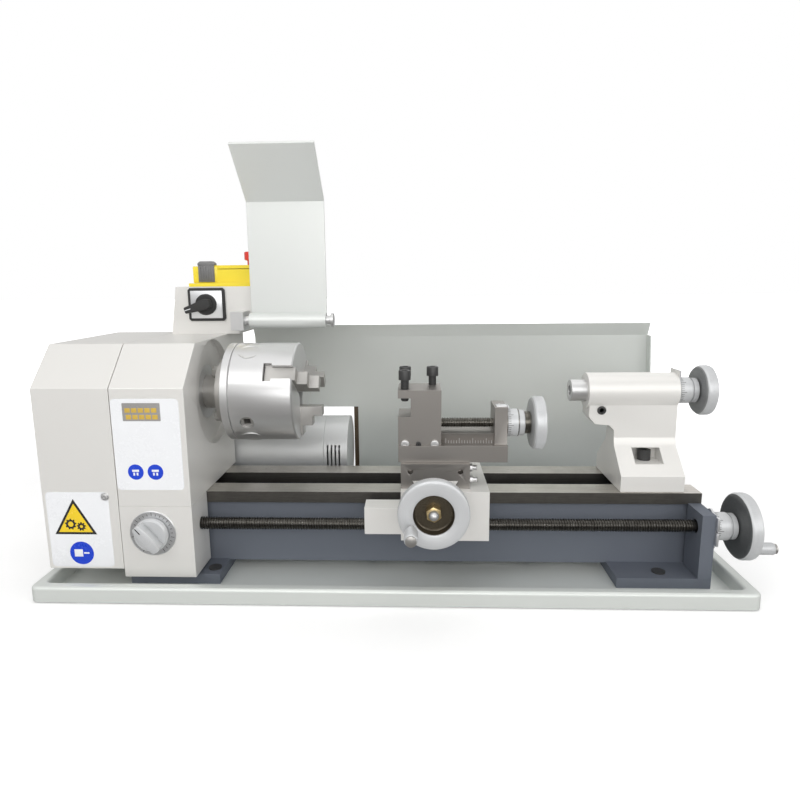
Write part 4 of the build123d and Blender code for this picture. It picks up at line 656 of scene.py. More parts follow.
    def socket_screw(self, frame: Matrix, seat: float, radius: float, tall: float, finish: int = 0) -> Piece:
        """Adds a cap screw's head with its hexagon socket.

        Args:
            frame: The placement, with Z out of the head.
            seat: Where the head starts along Z.
            radius: The head's radius.
            tall: The head's height.
            finish: The index of its finish.

        Returns:
            The piece itself.
        """
        top, soft, hole = seat + tall, 0.12 * radius, 0.52 * radius
        self.turned([(seat, 0), (seat, radius), (top - soft, radius),
                     (top - 0.3 * soft, radius - 0.35 * soft),
                     (top, radius - soft), (top, hole)], frame, 32, finish=finish)
        hexagon = [(hole * math.cos(TURN * k / 32), hole * math.sin(TURN * k / 32)) for k in range(32)]
        before = set(self.mesh.faces)
        rim = [self.mesh.verts.new(frame @ Vector((u, v, top))) for u, v in hexagon]
        floor = [self.mesh.verts.new(frame @ Vector((0.92 * hole * math.cos(TURN * k / 6 + 0.2),
                                                     0.92 * hole * math.sin(TURN * k / 6 + 0.2),
                                                     top - 0.6 * tall)))
                 for k in range(6)]
        loops = [self.mesh.edges.new((ring[k], ring[k - 1])) for ring in (rim,
                                                                          floor) for k in range(len(ring))]
        bmesh.ops.bridge_loops(self.mesh, edges=loops)
        self.mesh.faces.new(floor)
        self._dress(before, finish)
        return self

    def from_node(self, node: str) -> Piece:
        """Adds a merged copy of a CAD node's mesh, with its flat faces joined up."""
        self.mesh.from_mesh(bpy.data.objects[node].data)
        bmesh.ops.scale(self.mesh, vec=(1 / MM,) * 3, verts=self.mesh.verts)
        bmesh.ops.remove_doubles(self.mesh, verts=self.mesh.verts, dist=0.002)
        bmesh.ops.dissolve_limit(self.mesh, angle_limit=math.radians(0.6), verts=self.mesh.verts,
                                 edges=self.mesh.edges, delimit={"NORMAL"})
        for face in self.mesh.faces:
            face.material_index = 0
        return self

    def slimmed(self, frame: Matrix, radius: float, to: float) -> Piece:
        """Draws the points at one radius in to another, so that a thread can stand on a thinner core.

        Args:
            frame: The placement, with Z along the axis.
            radius: The radius whose points move.
            to: The radius they move to.

        Returns:
            The piece itself.
        """
        back = frame.inverted()
        for vert in self.mesh.verts:
            local = back @ vert.co
            found = math.hypot(local.x, local.y)
            if abs(found - radius) < 0.06:
                local.x, local.y = local.x * to / found, local.y * to / found
                vert.co = frame @ local
        return self

    def cut(self, point: Point, normal: Point) -> Piece:
        """Cuts away what lies beyond a plane and closes the cut.

        Args:
            point: A point on the plane.
            normal: The plane's direction, towards what goes.

        Returns:
            The piece itself.
        """
        parts = [*self.mesh.verts, *self.mesh.edges, *self.mesh.faces]
        made = bmesh.ops.bisect_plane(self.mesh, geom=parts, dist=1e-4, plane_co=point, plane_no=normal,
                                      clear_outer=True)
        rims = [e for e in made["geom_cut"] if isinstance(e, bmesh.types.BMEdge)]
        bmesh.ops.edgeloop_fill(self.mesh, edges=rims)
        return self

    def place(self, replaces: Sequence[str] = (), soft: float = 0.0, steps: int = 2,
              pick: Callable[[bmesh.types.BMFace], int] | None = None,
              recalc: bool = True) -> bpy.types.Object:
        """Turns the shape into a finished object in metres.

        Args:
            replaces: The CAD nodes it stands for.
            soft: The width of a live bevel on its sharp edges.
            steps: The bevel's segments.
            pick: Chooses each face's finish.
            recalc: Whether its normals are worked out anew.

        Returns:
            The object.
        """
        if pick:
            for face in self.mesh.faces:
                face.material_index = pick(face)
        if recalc:
            bmesh.ops.recalc_face_normals(self.mesh, faces=self.mesh.faces)
        bmesh.ops.scale(self.mesh, vec=(MM,) * 3, verts=self.mesh.verts)
        data = bpy.data.meshes.new(self.name)
        self.mesh.to_mesh(data)
        self.mesh.free()
        data.shade_smooth()
        data.set_sharp_from_angle(angle=SMOOTH_ANGLE)
        for finish in self.finishes:
            data.materials.append(finish.material())
        made = bpy.data.objects.new(self.name, data)
        bpy.context.scene.collection.objects.link(made)
        if soft:
            bevel = made.modifiers.new("softened", "BEVEL")
            bevel.width, bevel.segments = soft * MM, steps
            bevel.limit_method, bevel.angle_limit = "ANGLE", SMOOTH_ANGLE
            bevel.use_clamp_overlap, bevel.harden_normals = True, True
        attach(made, self.body)
        if replaces:
            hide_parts(*replaces)
        LOG.info("%s: %d faces on %s", self.name, len(data.polygons), self.body)
        return made


def castings(body: str, table: dict[str, tuple[Finish, float]]) -> None:
    """Makes softened pieces that stand for CAD nodes of one body.

    Args:
        body: The body they ride on.
        table: For each node, its finish and the width of its bevel.
    """
    for node, (finish, soft) in table.items():
        Piece(node + "_part", body, [finish]).from_node(node).place([node], soft, recalc=False)


def circle(radius: float, steps: int, turn: float = 0.0) -> list[Flat]:
    """Gives the corners of a regular outline round the origin."""
    return [(radius * math.cos(turn + TURN * k / steps), radius * math.sin(turn + TURN * k / steps))
            for k in range(steps)]


def front_frame(centre: Point) -> Matrix:
    """Gives a frame at a point whose Z looks towards the operator."""
    return Axis.Y.frame(centre) @ Matrix.Rotation(math.pi, 4, "X")


# --- sub-assemblies ----------------------------------------------------------------------------------


@dataclass
class TrayAndSplash:
    """The chip tray and the splash guard behind the bed."""

    soft_tray: float = 1.2
    soft_sheet: float = 0.5
    shade_strip: tuple[Point, Point] = ((-42.5, 111.6, 14.0), (-34.0, 112.4, 110.0))

    def build(self) -> None:
        """Builds both sheets and a dark strip at the window's edge, which is painted shade."""
        castings("frame", {"chip_tray": (TRAY_PAINT, self.soft_tray),
                           "splash_guard": (TRAY_PAINT, self.soft_sheet)})
        # painted shade: a dark strip at the window's right edge, where shade falls
        Piece("window_shade_strip", "frame", [WINDOW_SHADE]).bar(*self.shade_strip, 0.2).place()


@dataclass
class Bed:
    """The cast bed with its ground ways, and the screws that hold it down."""

    way_low: float = 58.6
    head_z: float = 10.6
    head_reach: float = 30.0
    head_rear_y: float = -100.0

    def _pick(self, face: bmesh.types.BMFace) -> int:
        """Gives the ways' top the ground finish and their sides the dark one."""
        mid = face.calc_center_median()
        if mid.z < self.way_low:
            return 0
        return 1 if face.normal.z > 0.9 else 2

    def build(self) -> None:
        """Builds the bed."""
        Piece("bed_part", "frame", [BED_PAINT, WAY_STEEL, WAY_EDGE]).from_node("bed").place(
            ["bed"], 0.5, 2, self._pick, recalc=False)
        screws = Piece("frame_screws_part", "frame", [BLACK_STEEL]).from_node("frame_screws")
        # the heads on the feet are pressed down to thin discs
        for vert in screws.mesh.verts:
            if self.head_z < vert.co.z < self.head_reach and vert.co.y > self.head_rear_y:
                vert.co.z = self.head_z
        screws.place(["frame_screws"], 0.3, recalc=False)


@dataclass
class Headstock:
    """The headstock, its control box and the gear cover, with their labels and speed dial."""

    front: float = -69.0
    dial: Flat = (-177.0, 47.0)
    cover_screw: Flat = (-211.4, 75.6)
    warning: Flat = (-236.2, 55.0)
    sign_z: float = 94.8

    def build(self) -> None:
        """Builds the castings and all that sits on them."""
        castings("frame", {"headstock_housing": (GREY_PAINT, 1.4), "control_box": (GREY_PAINT, 1.2),
                           "gear_cover": (GREY_PAINT, 2.2), "drive_end_plate": (GREY_PAINT, 0.6),
                           "motor_housing": (MOTOR_PAINT, 1.0), "motor_end_cap": (MOTOR_PAINT, 1.2)})
        self._labels()
        self._speed_dial()
        screw = Piece("cover_screw", "frame", [BRIGHT_STEEL, BLACK_STEEL])
        place = front_frame((self.cover_screw[0], self.front, self.cover_screw[1]))
        screw.turned([(-0.1, 0), (-0.1, 3.1), (0.4, 3.1), (0.6, 2.9), (0.6, 0)], place, 32)
        screw.socket_screw(place, 0.5, 2.2, 1.5)
        screw.place()

    def _disc(self, piece: Piece, x: float, z: float, radius: float, finish: int, out: float = 0.25) -> None:
        """Adds a thin round sticker on the front."""
        frame = Axis.Y.frame((x, self.front, z))
        piece.turned([(0.1, 0), (0.1, radius), (-out + 0.08, radius), (-out, radius - 0.1), (-out, 0)],
                     frame, 48,
                     finish=finish)

    def _labels(self) -> None:
        """Builds the plain labels and their generic signs."""
        y, t = self.front, 0.16
        sheet = Piece("headstock_labels", "frame", [LABEL, LABEL_GREY, LABEL_BLUE, LABEL_GOLD])
        self._film(sheet, (-201.0, -150.6), (81.0, 150.0), t)
        self._film(sheet, (-192.4, -164.4), (133.4, 146.8), t + 0.1, 0.6, 1)
        for k, z in enumerate((141.4, 136.4)):
            for j in range(5):
                left = -190.6 + 4.9 * j + 0.6 * k
                sheet.bar((left, y - t - 0.18, z - 1.7), (left + 4.0, y + 0.1, z + 1.7), 0.05, 3)
        for x in (-186.2, -171.4):
            self._disc(sheet, x, self.sign_z, 5.9, 2, 0.3)
            self._sign_bars(sheet, x, self.sign_z)
        sheet.place()
        sign = Piece("cover_labels", "frame", [LABEL, LABEL_YELLOW, LABEL_INK, LABEL_BLUE])
        self._film(sign, (-257.0, -209.0), (19.5, 79.0), t)
        sign_x, sign_z = self.warning
        frame = Axis.Y.frame((sign_x, y, sign_z))
        for size, out, finish in ((18.6, 0.28, 2), (15.0, 0.36, 1)):
            sign.prism(self._triangle(size), frame, -out, 0.1, finish=finish)
        for u, v, r in ((-1.2, -3.4, 3.6), (-3.0, 4.6, 2.7)):
            gear_place = Axis.Y.frame((sign_x + v, y, sign_z + u))
            sign.turned([(0.1, r - 1.5), (0.1, r), (-0.44, r), (-0.44, r - 1.5)], gear_place, 24, True, 2)
            for k in range(9):
                tooth = gear_place @ Matrix.Rotation(TURN * k / 9, 4, "Z")
                sign.bar((r - 0.2, -0.5, -0.44), (r + 0.8, 0.5, 0.1), 0.0, 2, tooth)
        self._disc(sign, -233.4, 30.6, 9.2, 3, 0.3)
        sign.bar((-239, y - 0.42, 27.8), (-232.5, y + 0.1, 33.6), 0.05)
        sign.bar((-231.6, y - 0.42, 30.1), (-227.6, y + 0.1, 31.3), 0.05)
        sign.place()

    def _film(self, piece: Piece, x: Flat, z: Flat, out: float, corner: float = 3.2, finish: int = 0) -> None:
        """Adds a thin sheet with rounded corners on the front.

        Args:
            piece: The piece it belongs to.
            x: Its left and right.
            z: Its bottom and top.
            out: How far it stands out.
            corner: The radius of its corners.
            finish: The index of its finish.
        """
        outline = []
        for cx, cz, start in ((x[1] - corner, z[1] - corner, 0), (x[0] + corner, z[1] - corner, 90),
                              (x[0] + corner, z[0] + corner, 180), (x[1] - corner, z[0] + corner, 270)):
            for k in range(6):
                a = math.radians(start + 18 * k)
                outline.append((cz + corner * math.sin(a), cx + corner * math.cos(a)))
        piece.prism(outline, Axis.Y.frame((0, self.front, 0)), -out, 0.1, finish=finish)

    @staticmethod
    def _triangle(size: float) -> list[Flat]:
        """Gives a triangle that points up, as (z, x) pairs round its middle."""
        return [(size, 0.0), (-0.5 * size, 0.866 * size), (-0.5 * size, -0.866 * size)]

    def _sign_bars(self, sheet: Piece, x: float, z: float) -> None:
        """Adds the pale strokes of a generic round sign."""
        y = self.front
        sheet.bar((x - 2.6, y - 0.38, z + 0.2), (x + 2.6, y + 0.1, z + 1.9), 0.05)
        sheet.bar((x - 1.9, y - 0.38, z - 2.6), (x - 0.6, y + 0.1, z - 0.4), 0.05)
        sheet.bar((x + 0.6, y - 0.38, z - 2.6), (x + 1.9, y + 0.1, z - 0.4), 0.05)

    def _speed_dial(self) -> None:
        """Builds the scale behind the speed knob, and the knob with its bar grip."""
        x, z = self.dial
        frame = Axis.Y.frame((x, 0, z))
        scale = Piece("speed_scale", "frame", [PLATE, LABEL_INK])
        scale.turned([(-68.9, 0), (-68.9, 17.5), (-69.8, 17.5), (-70.1, 17.1), (-70.1, 0)], frame, 72)
        for k in range(25):
            a = math.radians(-150 + 12.5 * k)
            turn = frame @ Matrix.Rotation(a, 4, "Z")
            long = 2.6 if k % 4 == 0 else 1.5
            scale.bar((14.0, -0.16, -70.2), (14.0 + long, 0.16, -69.9), 0.0, 1, turn)
        scale.place()
        knob_finish = SATIN.about("speed_knob_metal", Axis.Y, (x, 0, z))
        knob = Piece("speed_knob_part", "speed_knob", [knob_finish, LABEL_INK])
        knob.turned([(-70.6, 0), (-70.6, 12.6), (-71.4, 12.9), (-73.6, 12.9), (-74.4, 12.4), (-75.2, 11.4),
                     (-75.4, 0)], frame, 72)
        bar = [(-11.6, -3.4), (-3.0, -4.2), (3.0, -4.2), (11.6, -3.4), (12.3, 0), (11.6, 3.4), (3.0, 4.2),
               (-3.0, 4.2), (-11.6, 3.4), (-12.3, 0)]
        tilt = frame @ Matrix.Rotation(math.radians(-40), 4, "Z")
        knob.prism(bar, tilt, -82.9, -75.0, 0.9)
        knob.bar((6.0, -0.35, -83.0), (11.4, 0.35, -82.4), 0.0, 1, tilt)
        knob.place(["speed_knob"])


@dataclass
class Chuck:
    """The three-jaw chuck and the spindle behind it."""

    key_x: float = -111.0
    key_angles: tuple[float, ...] = (118.0, 238.0, 358.0)
    key_rim: tuple[Flat, ...] = ((38.3, 5.6), (38.3, 8.7), (39.7, 8.7), (39.9, 8.4), (39.7, 7.6), (38.8, 5.9))

    def build(self) -> None:
        """Builds the chuck's pieces."""
        castings("spindle", {"chuck_body": (BRIGHT_STEEL, 0.7), "chuck_backplate": (BRIGHT_STEEL, 0.5),
                             "spindle": (TOOL_STEEL, 0.3)})
        castings("frame", {"spindle_bearings": (BRIGHT_STEEL, 0.2)})
        castings("scroll", {"chuck_scroll": (TOOL_STEEL, 0.1)})
        for k in (1, 2, 3):
            castings(f"jaw_{k}", {f"chuck_jaw_{k}": (TOOL_STEEL, 0.35)})
            castings(f"pinion_{k}", {f"key_pinion_{k}": (TOOL_STEEL, 0.3)})
        rims = Piece("key_hole_rims", "spindle", [BRIGHT_STEEL])
        for angle in self.key_angles:
            lean = Matrix.Rotation(math.radians(angle - 90), 4, "X")
            rims.turned(self.key_rim, Matrix.Translation((self.key_x, 0, AXIS_Z)) @ lean, 48, True)
        rims.place()


@dataclass
class Wheel:
    """A dished handwheel.

    Attributes:
        name: The piece's name.
        body: The body it rides on.
        node: The CAD node it stands for.
        frame: Its placement, with Z pointing at the operator's end of the shaft.
        radius: The rim's radius.
        low: Where the wheel starts along Z.
        deep: How deep the wheel is.
        bore: The shaft's radius.
        back: The finish of its reverse side, a copy of the satin metal whose brightness is painted light and
            shade.
        hub: The finish inside its recess, a dark brown that is painted shade.
    """

    name: str
    body: str
    node: str
    frame: Matrix
    radius: float
    low: float
    deep: float = 10.0
    bore: float = 4.0
    back: Finish = SHADED_WHEEL_BACK
    hub: Finish = SHADED_HUB_BROWN

    def build(self, axis: Axis, centre: Point, pin: tuple[Point, float, float] | None = None) -> None:
        """Builds the wheel.

        Args:
            axis: The axis it turns on.
            centre: A point on that axis.
            pin: The grip pin's foot, its length and its radius, if it has one.
        """
        rim, low, deep = self.radius, self.low, self.deep
        top = low + deep
        metal = SATIN.about(self.name + "_metal", axis, centre)
        wheel = Piece(self.name, self.body, [metal, self.back, TOOL_STEEL, self.hub])
        face = 0.57 * rim
        wheel.turned([(low + 1.6, rim - 1.0), (low + 2.2, rim - 0.4), (low + 3.0, rim - 0.08),
                      (top - 1.6, rim), (top - 0.6, rim - 0.35), (top - 0.1, rim - 1.2), (top, rim - 2.4),
                      (top, face + 0.9), (top - 0.3, face + 0.3), (top - 1.0, face)], self.frame, 96)
        wheel.turned([(top - 1.0, face), (low + 3.4, face - 0.8), (low + 2.8, face - 1.6),
                      (low + 2.6, self.bore)],
                     self.frame, 96, finish=3)
        wheel.turned([(low + 2.6, self.bore), (low, self.bore), (low, 0.36 * rim), (low + 0.3, 0.42 * rim),
                      (low + 0.4, 0.84 * rim), (low + 0.8, 0.92 * rim), (low + 1.6, rim - 1.0)], self.frame,
                     96,
                     finish=1)
        self._ribs(wheel, rim, low, top)
        if pin:
            foot, length, radius = pin
            place = axis.frame(foot)
            sign = 1 if length > 0 else -1
            wheel.turned([(0, 0), (0, radius), (length, radius), (length, 0)], place, 24, finish=2)
            seat, shoulder, end = (length + out * sign for out in (-0.2, 1.1, 1.5))
            wheel.turned([(seat, 0), (seat, radius * 1.9), (shoulder, radius * 1.9), (end, radius * 1.6),
                          (end, 0)],
                         place, 28, finish=2)
        wheel.place([self.node])

    def _ribs(self, wheel: Piece, rim: float, low: float, top: float) -> None:
        """Adds the fine grip lines on the rim."""
        count = int(rim * 4.4)
        for k in range(count):
            turn = self.frame @ Matrix.Rotation(TURN * k / count, 4, "Z")
            wheel.bar((rim - 0.2, -0.2, low + 3.2), (rim + 0.1, 0.2, top - 1.6), 0.0, 0, turn)


@dataclass
class Grip:
    """A turned crank grip that spins on its pin.

    Attributes:
        name: The CAD node it stands for.
        body: The body it rides on.
        frame: Its placement, with Z along the pin.
        low: Where it starts along Z.
        high: Where it ends.
        radius: Its greatest radius.
    """

    name: str
    body: str
    frame: Matrix
    low: float
    high: float
    radius: float = 4.6

    def build(self, axis: Axis, centre: Point) -> None:
        """Builds the grip.

        Args:
            axis: The axis it spins on.
            centre: A point on that axis.
        """
        low, high, r = self.low, self.high, self.radius
        span = high - low
        piece = Piece(self.name + "_part", self.body, [SATIN.about(self.name + "_metal", axis, centre)])
        piece.turned([(low, 2.2), (low, 0.62 * r), (low + 0.16 * span, 0.66 * r),
                      (low + 0.24 * span, 0.74 * r),
                      (low + 0.28 * span, 0.96 * r), (low + 0.34 * span, r), (high - 0.06 * span, r),
                      (high - 0.02 * span, 0.93 * r), (high, 0.82 * r), (high, 2.2)], self.frame, 40, True)
        piece.place([self.name])


@dataclass
class Leadscrew:
    """The leadscrew with its bracket, dial, wheel and grip."""

    dial_from: float = 243.4
    wheel_from: float = 259.9
    grip_from: float = 272.3
    grip_to: float = 291.3
    grip_z: float = 29.6
    plate_x: float = 241.55

    def build(self) -> None:
        """Builds the leadscrew's pieces."""
        centre = (0.0, LEAD_Y, LEAD_Z)
        frame = Axis.X.frame(centre)
        bracket = Piece("leadscrew_bracket_part", "frame", [BED_PAINT, PLATE]).from_node("leadscrew_bracket")
        bracket.place(["leadscrew_bracket"], 0.5, 2,
                      lambda face: int(face.calc_center_median().x > self.plate_x),
                      recalc=False)
        steel = replace(TOOL_STEEL, name="leadscrew_steel", centre=centre, base=(0.10, 0.095, 0.085),
                        second=(0.045, 0.041, 0.036))
        core = Piece("leadscrew_part", "leadscrew", [steel]).from_node("leadscrew").slimmed(frame, 5.0, 4.25)
        core.place(["leadscrew"], recalc=False)
        screw = Piece("leadscrew_thread", "leadscrew", [steel])
        screw.thread(frame, 5.0, 2.0, -190.0, 230.5).place()
        dial = Piece("leadscrew_dial_part", "leadscrew",
                     [SATIN.about("lead_dial_metal", Axis.X, centre), LABEL_INK])
        start = self.dial_from
        dial.turned([(start, 4.1), (start, 10.1), (start + 0.4, 10.5), (start + 10.2, 10.5),
                     (start + 10.6, 10.0),
                     (start + 10.6, 9.0), (start + 12.0, 9.0), (start + 12.2, 9.9), (start + 15.4, 9.9),
                     (start + 15.9, 9.4), (start + 16.2, 8.0), (start + 16.2, 4.1)], frame, 72, True)
        dial.ticks(frame, 10.5, start + 0.5, 40, 4.2, 1).place(["leadscrew_dial"])
        wheel = Wheel("leadscrew_handwheel_part", "leadscrew", "leadscrew_handwheel", frame, 25.0,
                      self.wheel_from)
        foot = (self.wheel_from + 4, LEAD_Y, self.grip_z)
        wheel.build(Axis.X, centre, (foot, self.grip_to + 0.4 - self.wheel_from - 4, 2.0))
        pin = (0, LEAD_Y, self.grip_z)
        grip = Grip("leadscrew_grip", "leadscrew_grip", Axis.X.frame(pin), self.grip_from, self.grip_to)
        grip.build(Axis.X, pin)
        self._pointer()

    def _pointer(self) -> None:
        """Builds the riveted pointer plate on the bracket's end."""
        x = 241.5
        plate = Piece("leadscrew_pointer", "frame", [PLATE])
        for side in (-1, 1):
            z0 = LEAD_Z + side * 5.6
            plate.prism([(-61.2 - LEAD_Y, side * 0.3), (-61.2 - LEAD_Y + 2.2, side * 1.0),
                         (-61.2 - LEAD_Y + 2.2, side * 11.0), (-61.2 - LEAD_Y - 2.4, side * 11.0),
                         (-61.2 - LEAD_Y - 2.4, side * 1.0)], Axis.X.frame((x, LEAD_Y, LEAD_Z)), 0.0, 1.7,
                        0.2)
            plate.turned([(1.6, 0), (1.6, 1.5), (2.3, 1.1), (2.5, 0)], Axis.X.frame((x, -61.2, z0 + side)),
                         16)
        plate.place()


@dataclass
class Carriage:
    """The saddle, cross slide, top slide and tool post."""

    cross_pin: Flat = (17.4, 64.6)
    cross_cut: float = -91.8
    top_dial: tuple[Flat, ...] = ((89.4, 10.4), (89.6, 10.56), (97.2, 10.56), (97.6, 10.2), (98.2, 9.6),
                                  (98.4, 9.8),
                                  (102.0, 9.8), (102.4, 9.4), (102.4, 8.0), (89.4, 8.0))

    def build(self) -> None:
        """Builds the carriage's pieces."""
        castings("carriage", {"saddle": (GREY_PAINT, 1.0), "lead_nut": (BRONZE, 0.2)})
        castings("cross_slide", {"cross_slide": (SLIDE_STEEL, 0.5), "cross_nut": (BRONZE, 0.2),
                                 "top_slide_base": (SLIDE_STEEL, 0.5)})
        castings("tool_slide", {"tool_post": (SLIDE_STEEL, 0.5)})
        self._cross_screw()
        self._top_screw()
        self._clamp_screws()
        self._gib_screws()

    def _cross_screw(self) -> None:
        """Builds the cross slide's screw, dial, wheel and grip."""
        centre = (CROSS_X, 0.0, CROSS_Z)
        frame = Axis.Y.frame(centre)
        steel = TOOL_STEEL.about("cross_screw_steel", Axis.Y, centre)
        screw = Piece("cross_screw_part", "cross_screw", [steel]).from_node("cross_screw")
        screw.cut((0.0, self.cross_cut, 0.0), (0.0, -1.0, 0.0)).place(["cross_screw"])
        dial = Piece("cross_dial_part", "cross_screw",
                     [SATIN.about("cross_dial_metal", Axis.Y, centre), LABEL_INK])
        start = -70.4
        dial.turned([(start, 3.6), (start, 11.6), (start - 0.4, 12.0), (start - 10.1, 12.0),
                     (start - 10.5, 11.5),
                     (start - 10.5, 10.4), (start - 11.6, 10.4), (start - 11.8, 10.8), (start - 17.6, 10.8),
                     (start - 18.3, 10.0), (start - 18.3, 3.6)], frame, 72, True)
        dial.ticks(frame, 12.0, start - 4.4, 40, 4.0, 1).place(["cross_dial"])
        out = front_frame(centre)
        wheel = Wheel("cross_handwheel_part", "cross_screw", "cross_handwheel", out, 25.0, 88.9, bore=3.6)
        x, z = self.cross_pin
        wheel.build(Axis.Y, centre, ((x, -92.0, z), -28.6, 2.0))
        grip = Grip("cross_grip", "cross_grip", front_frame((x, 0, z)), 101.3, 120.3)
        grip.build(Axis.Y, (x, 0, z))
        nut = Piece("cross_wheel_nut", "cross_screw", [BRONZE, BRIGHT_STEEL])
        nut.prism(circle(5.8, 6, 0.1), out, 91.2, 97.2, 0.5)
        nut.turned([(96.8, 0), (96.8, 3.6), (98.8, 3.6), (100.4, 3.1), (101.8, 2.0), (102.4, 0.9),
                    (102.5, 0)], out, 32,
                   finish=1)
        nut.place()

    def _top_screw(self) -> None:
        """Builds the top slide's screw, dial and wheel."""
        centre = (0.0, TOP_Y, TOP_Z)
        frame = Axis.X.frame(centre)
        steel = TOOL_STEEL.about("top_screw_steel", Axis.X, centre)
        castings("top_screw", {"top_screw": (steel, 0.0)})
        Piece("top_screw_thread", "top_screw", [steel]).thread(frame, 3.95, 1.25, 40.5, 78.0).place()
        dial = Piece("top_dial_scale", "top_screw",
                     [SATIN.about("top_dial_metal", Axis.X, centre), LABEL_INK])
        dial.turned(self.top_dial, frame, 64, True)
        dial.ticks(frame, 10.56, 89.8, 40, 3.8, 1).place()
        wheel = Wheel("top_handwheel_part", "top_screw", "top_handwheel", frame, 20.0, 106.9, bore=3.4,
                      back=LIT_WHEEL_BACK)
        wheel.build(Axis.X, centre)

    def _clamp_screws(self) -> None:
        """Builds the tool clamp screws."""
        screws = Piece("tool_clamp_screws_part", "tool_slide", [BLACK_STEEL])
        for x, y in ((12.5, -48.6), (12.5, -28.6), (33.5, -28.6)):
            frame = Axis.Z.frame((x, y, 0))
            screws.turned([(144.0, 0), (144.0, 2.3), (144.8, 2.9), (160.0, 2.9), (160.0, 0)], frame, 28)
            screws.thread(frame, 3.05, 1.0, 145.5, 159.5)
            screws.socket_screw(frame, 160.0, 4.5, 7.1)
        screws.place(["tool_clamp_screws"])

    def _gib_screws(self) -> None:
        """Builds the small adjusting screws on the slides."""
        post = Piece("post_gib_screws", "tool_slide", [BRIGHT_STEEL, BLACK_STEEL])
        out = front_frame((0, 0, 0))
        for x, finish, r in ((12.6, 0, 3.1), (22.6, 1, 2.0), (34.6, 0, 3.1)):
            place = Matrix.Translation((x, 0, 112.5)) @ out
            post.socket_screw(place, 54.5, r, 1.9, finish)
        post.place()
        side = Piece("slide_gib_screws", "cross_slide", [BRIGHT_STEEL, BLACK_STEEL])
        for z, y in ((93.0, -50.0), (85.0, -54.0)):
            place = Axis.X.frame((60.4, y, z))
            side.prism(circle(3.0, 6, 0.3), place, 0.0, 2.8, 0.25)
            side.turned([(2.6, 0), (2.6, 1.9), (5.6, 1.9), (6.0, 1.5), (6.0, 0)], place, 24)
            side.bar((-0.3, -1.6, 5.6), (0.3, 1.6, 6.1), 0.0, 1, place)
        side.place()
        marks = Piece("top_slide_marks", "cross_slide", [PLATE])
        for k in range(18):
            x = 43.0 + 2.0 * k
            marks.bar((x - 0.16, -52.2, 112.4), (x + 0.16, -51.5, 114.6 if k % 5 else 116.2))
        plate = Piece("top_slide_pointer", "cross_slide", [PLATE, BRIGHT_STEEL])
        plate.bar((80.5, -49.0, 139.3), (88.6, -41.0, 140.1), 0.25)
        plate.prism([(-49.0 - TOP_Y, 10.9), (-41.0 - TOP_Y, 10.9), (-41.0 - TOP_Y, 14.7),
                     (-49.0 - TOP_Y, 14.7)],
                    Axis.X.frame((88.9, TOP_Y, TOP_Z)), 0.0, 0.7, 0.15)
        for y in (-47.2, -42.8):
            plate.turned([(140.0, 0), (140.0, 1.1), (140.6, 0.8), (140.8, 0)], Axis.Z.frame((83.2, y, 0)), 16,
                         finish=1)
        plate.place()
        marks.place()


@dataclass
class Tailstock:
    """The tailstock with its quill, screw, dial and wheel."""

    dial_from: float = 230.8
    wheel_from: float = 246.3
    plate_x: float = 229.05

    def build(self) -> None:
        """Builds the tailstock's pieces."""
        centre = (0.0, 0.0, AXIS_Z)
        frame = Axis.X.frame(centre)
        body = Piece("tailstock_body_part", "tailstock", [GREY_PAINT, PLATE]).from_node("tailstock_body")
        body.place(["tailstock_body"], 1.2, 3, lambda face: int(face.calc_center_median().x > self.plate_x),
                   recalc=False)
        castings("tailstock", {"tailstock_clamp": (BLACK_STEEL, 0.4)})
        castings("quill", {"quill": (BRIGHT_STEEL, 0.5)})
        castings("quill_screw", {"quill_screw": (TOOL_STEEL, 0.0)})
        dial = Piece("tailstock_dial_part", "quill_screw",
                     [SATIN.about("tail_dial_metal", Axis.X, centre), LABEL_INK])
        start = self.dial_from
        dial.turned([(start, 4.1), (start, 10.1), (start + 0.4, 10.5), (start + 9.0, 10.5),
                     (start + 9.4, 10.0),
                     (start + 9.4, 9.0), (start + 10.6, 9.0), (start + 10.8, 9.9), (start + 14.4, 9.9),
                     (start + 15.0, 9.0), (start + 15.0, 4.1)], frame, 72, True)
        dial.ticks(frame, 10.5, start + 0.5, 40, 4.0, 1).place(["tailstock_dial"])
        wheel = Wheel("tailstock_handwheel_part", "quill_screw", "tailstock_handwheel", frame, 20.0,
                      self.wheel_from, back=HALF_LIT_WHEEL_BACK)
        wheel.build(Axis.X, centre)
        lock = Piece("quill_lock_screw", "tailstock", [BLACK_STEEL])
        out = front_frame((0, 0, 0))
        lock.socket_screw(Matrix.Translation((169.3, 0, 128.4)) @ out, 9.4, 3.5, 1.5)
        lock.place()


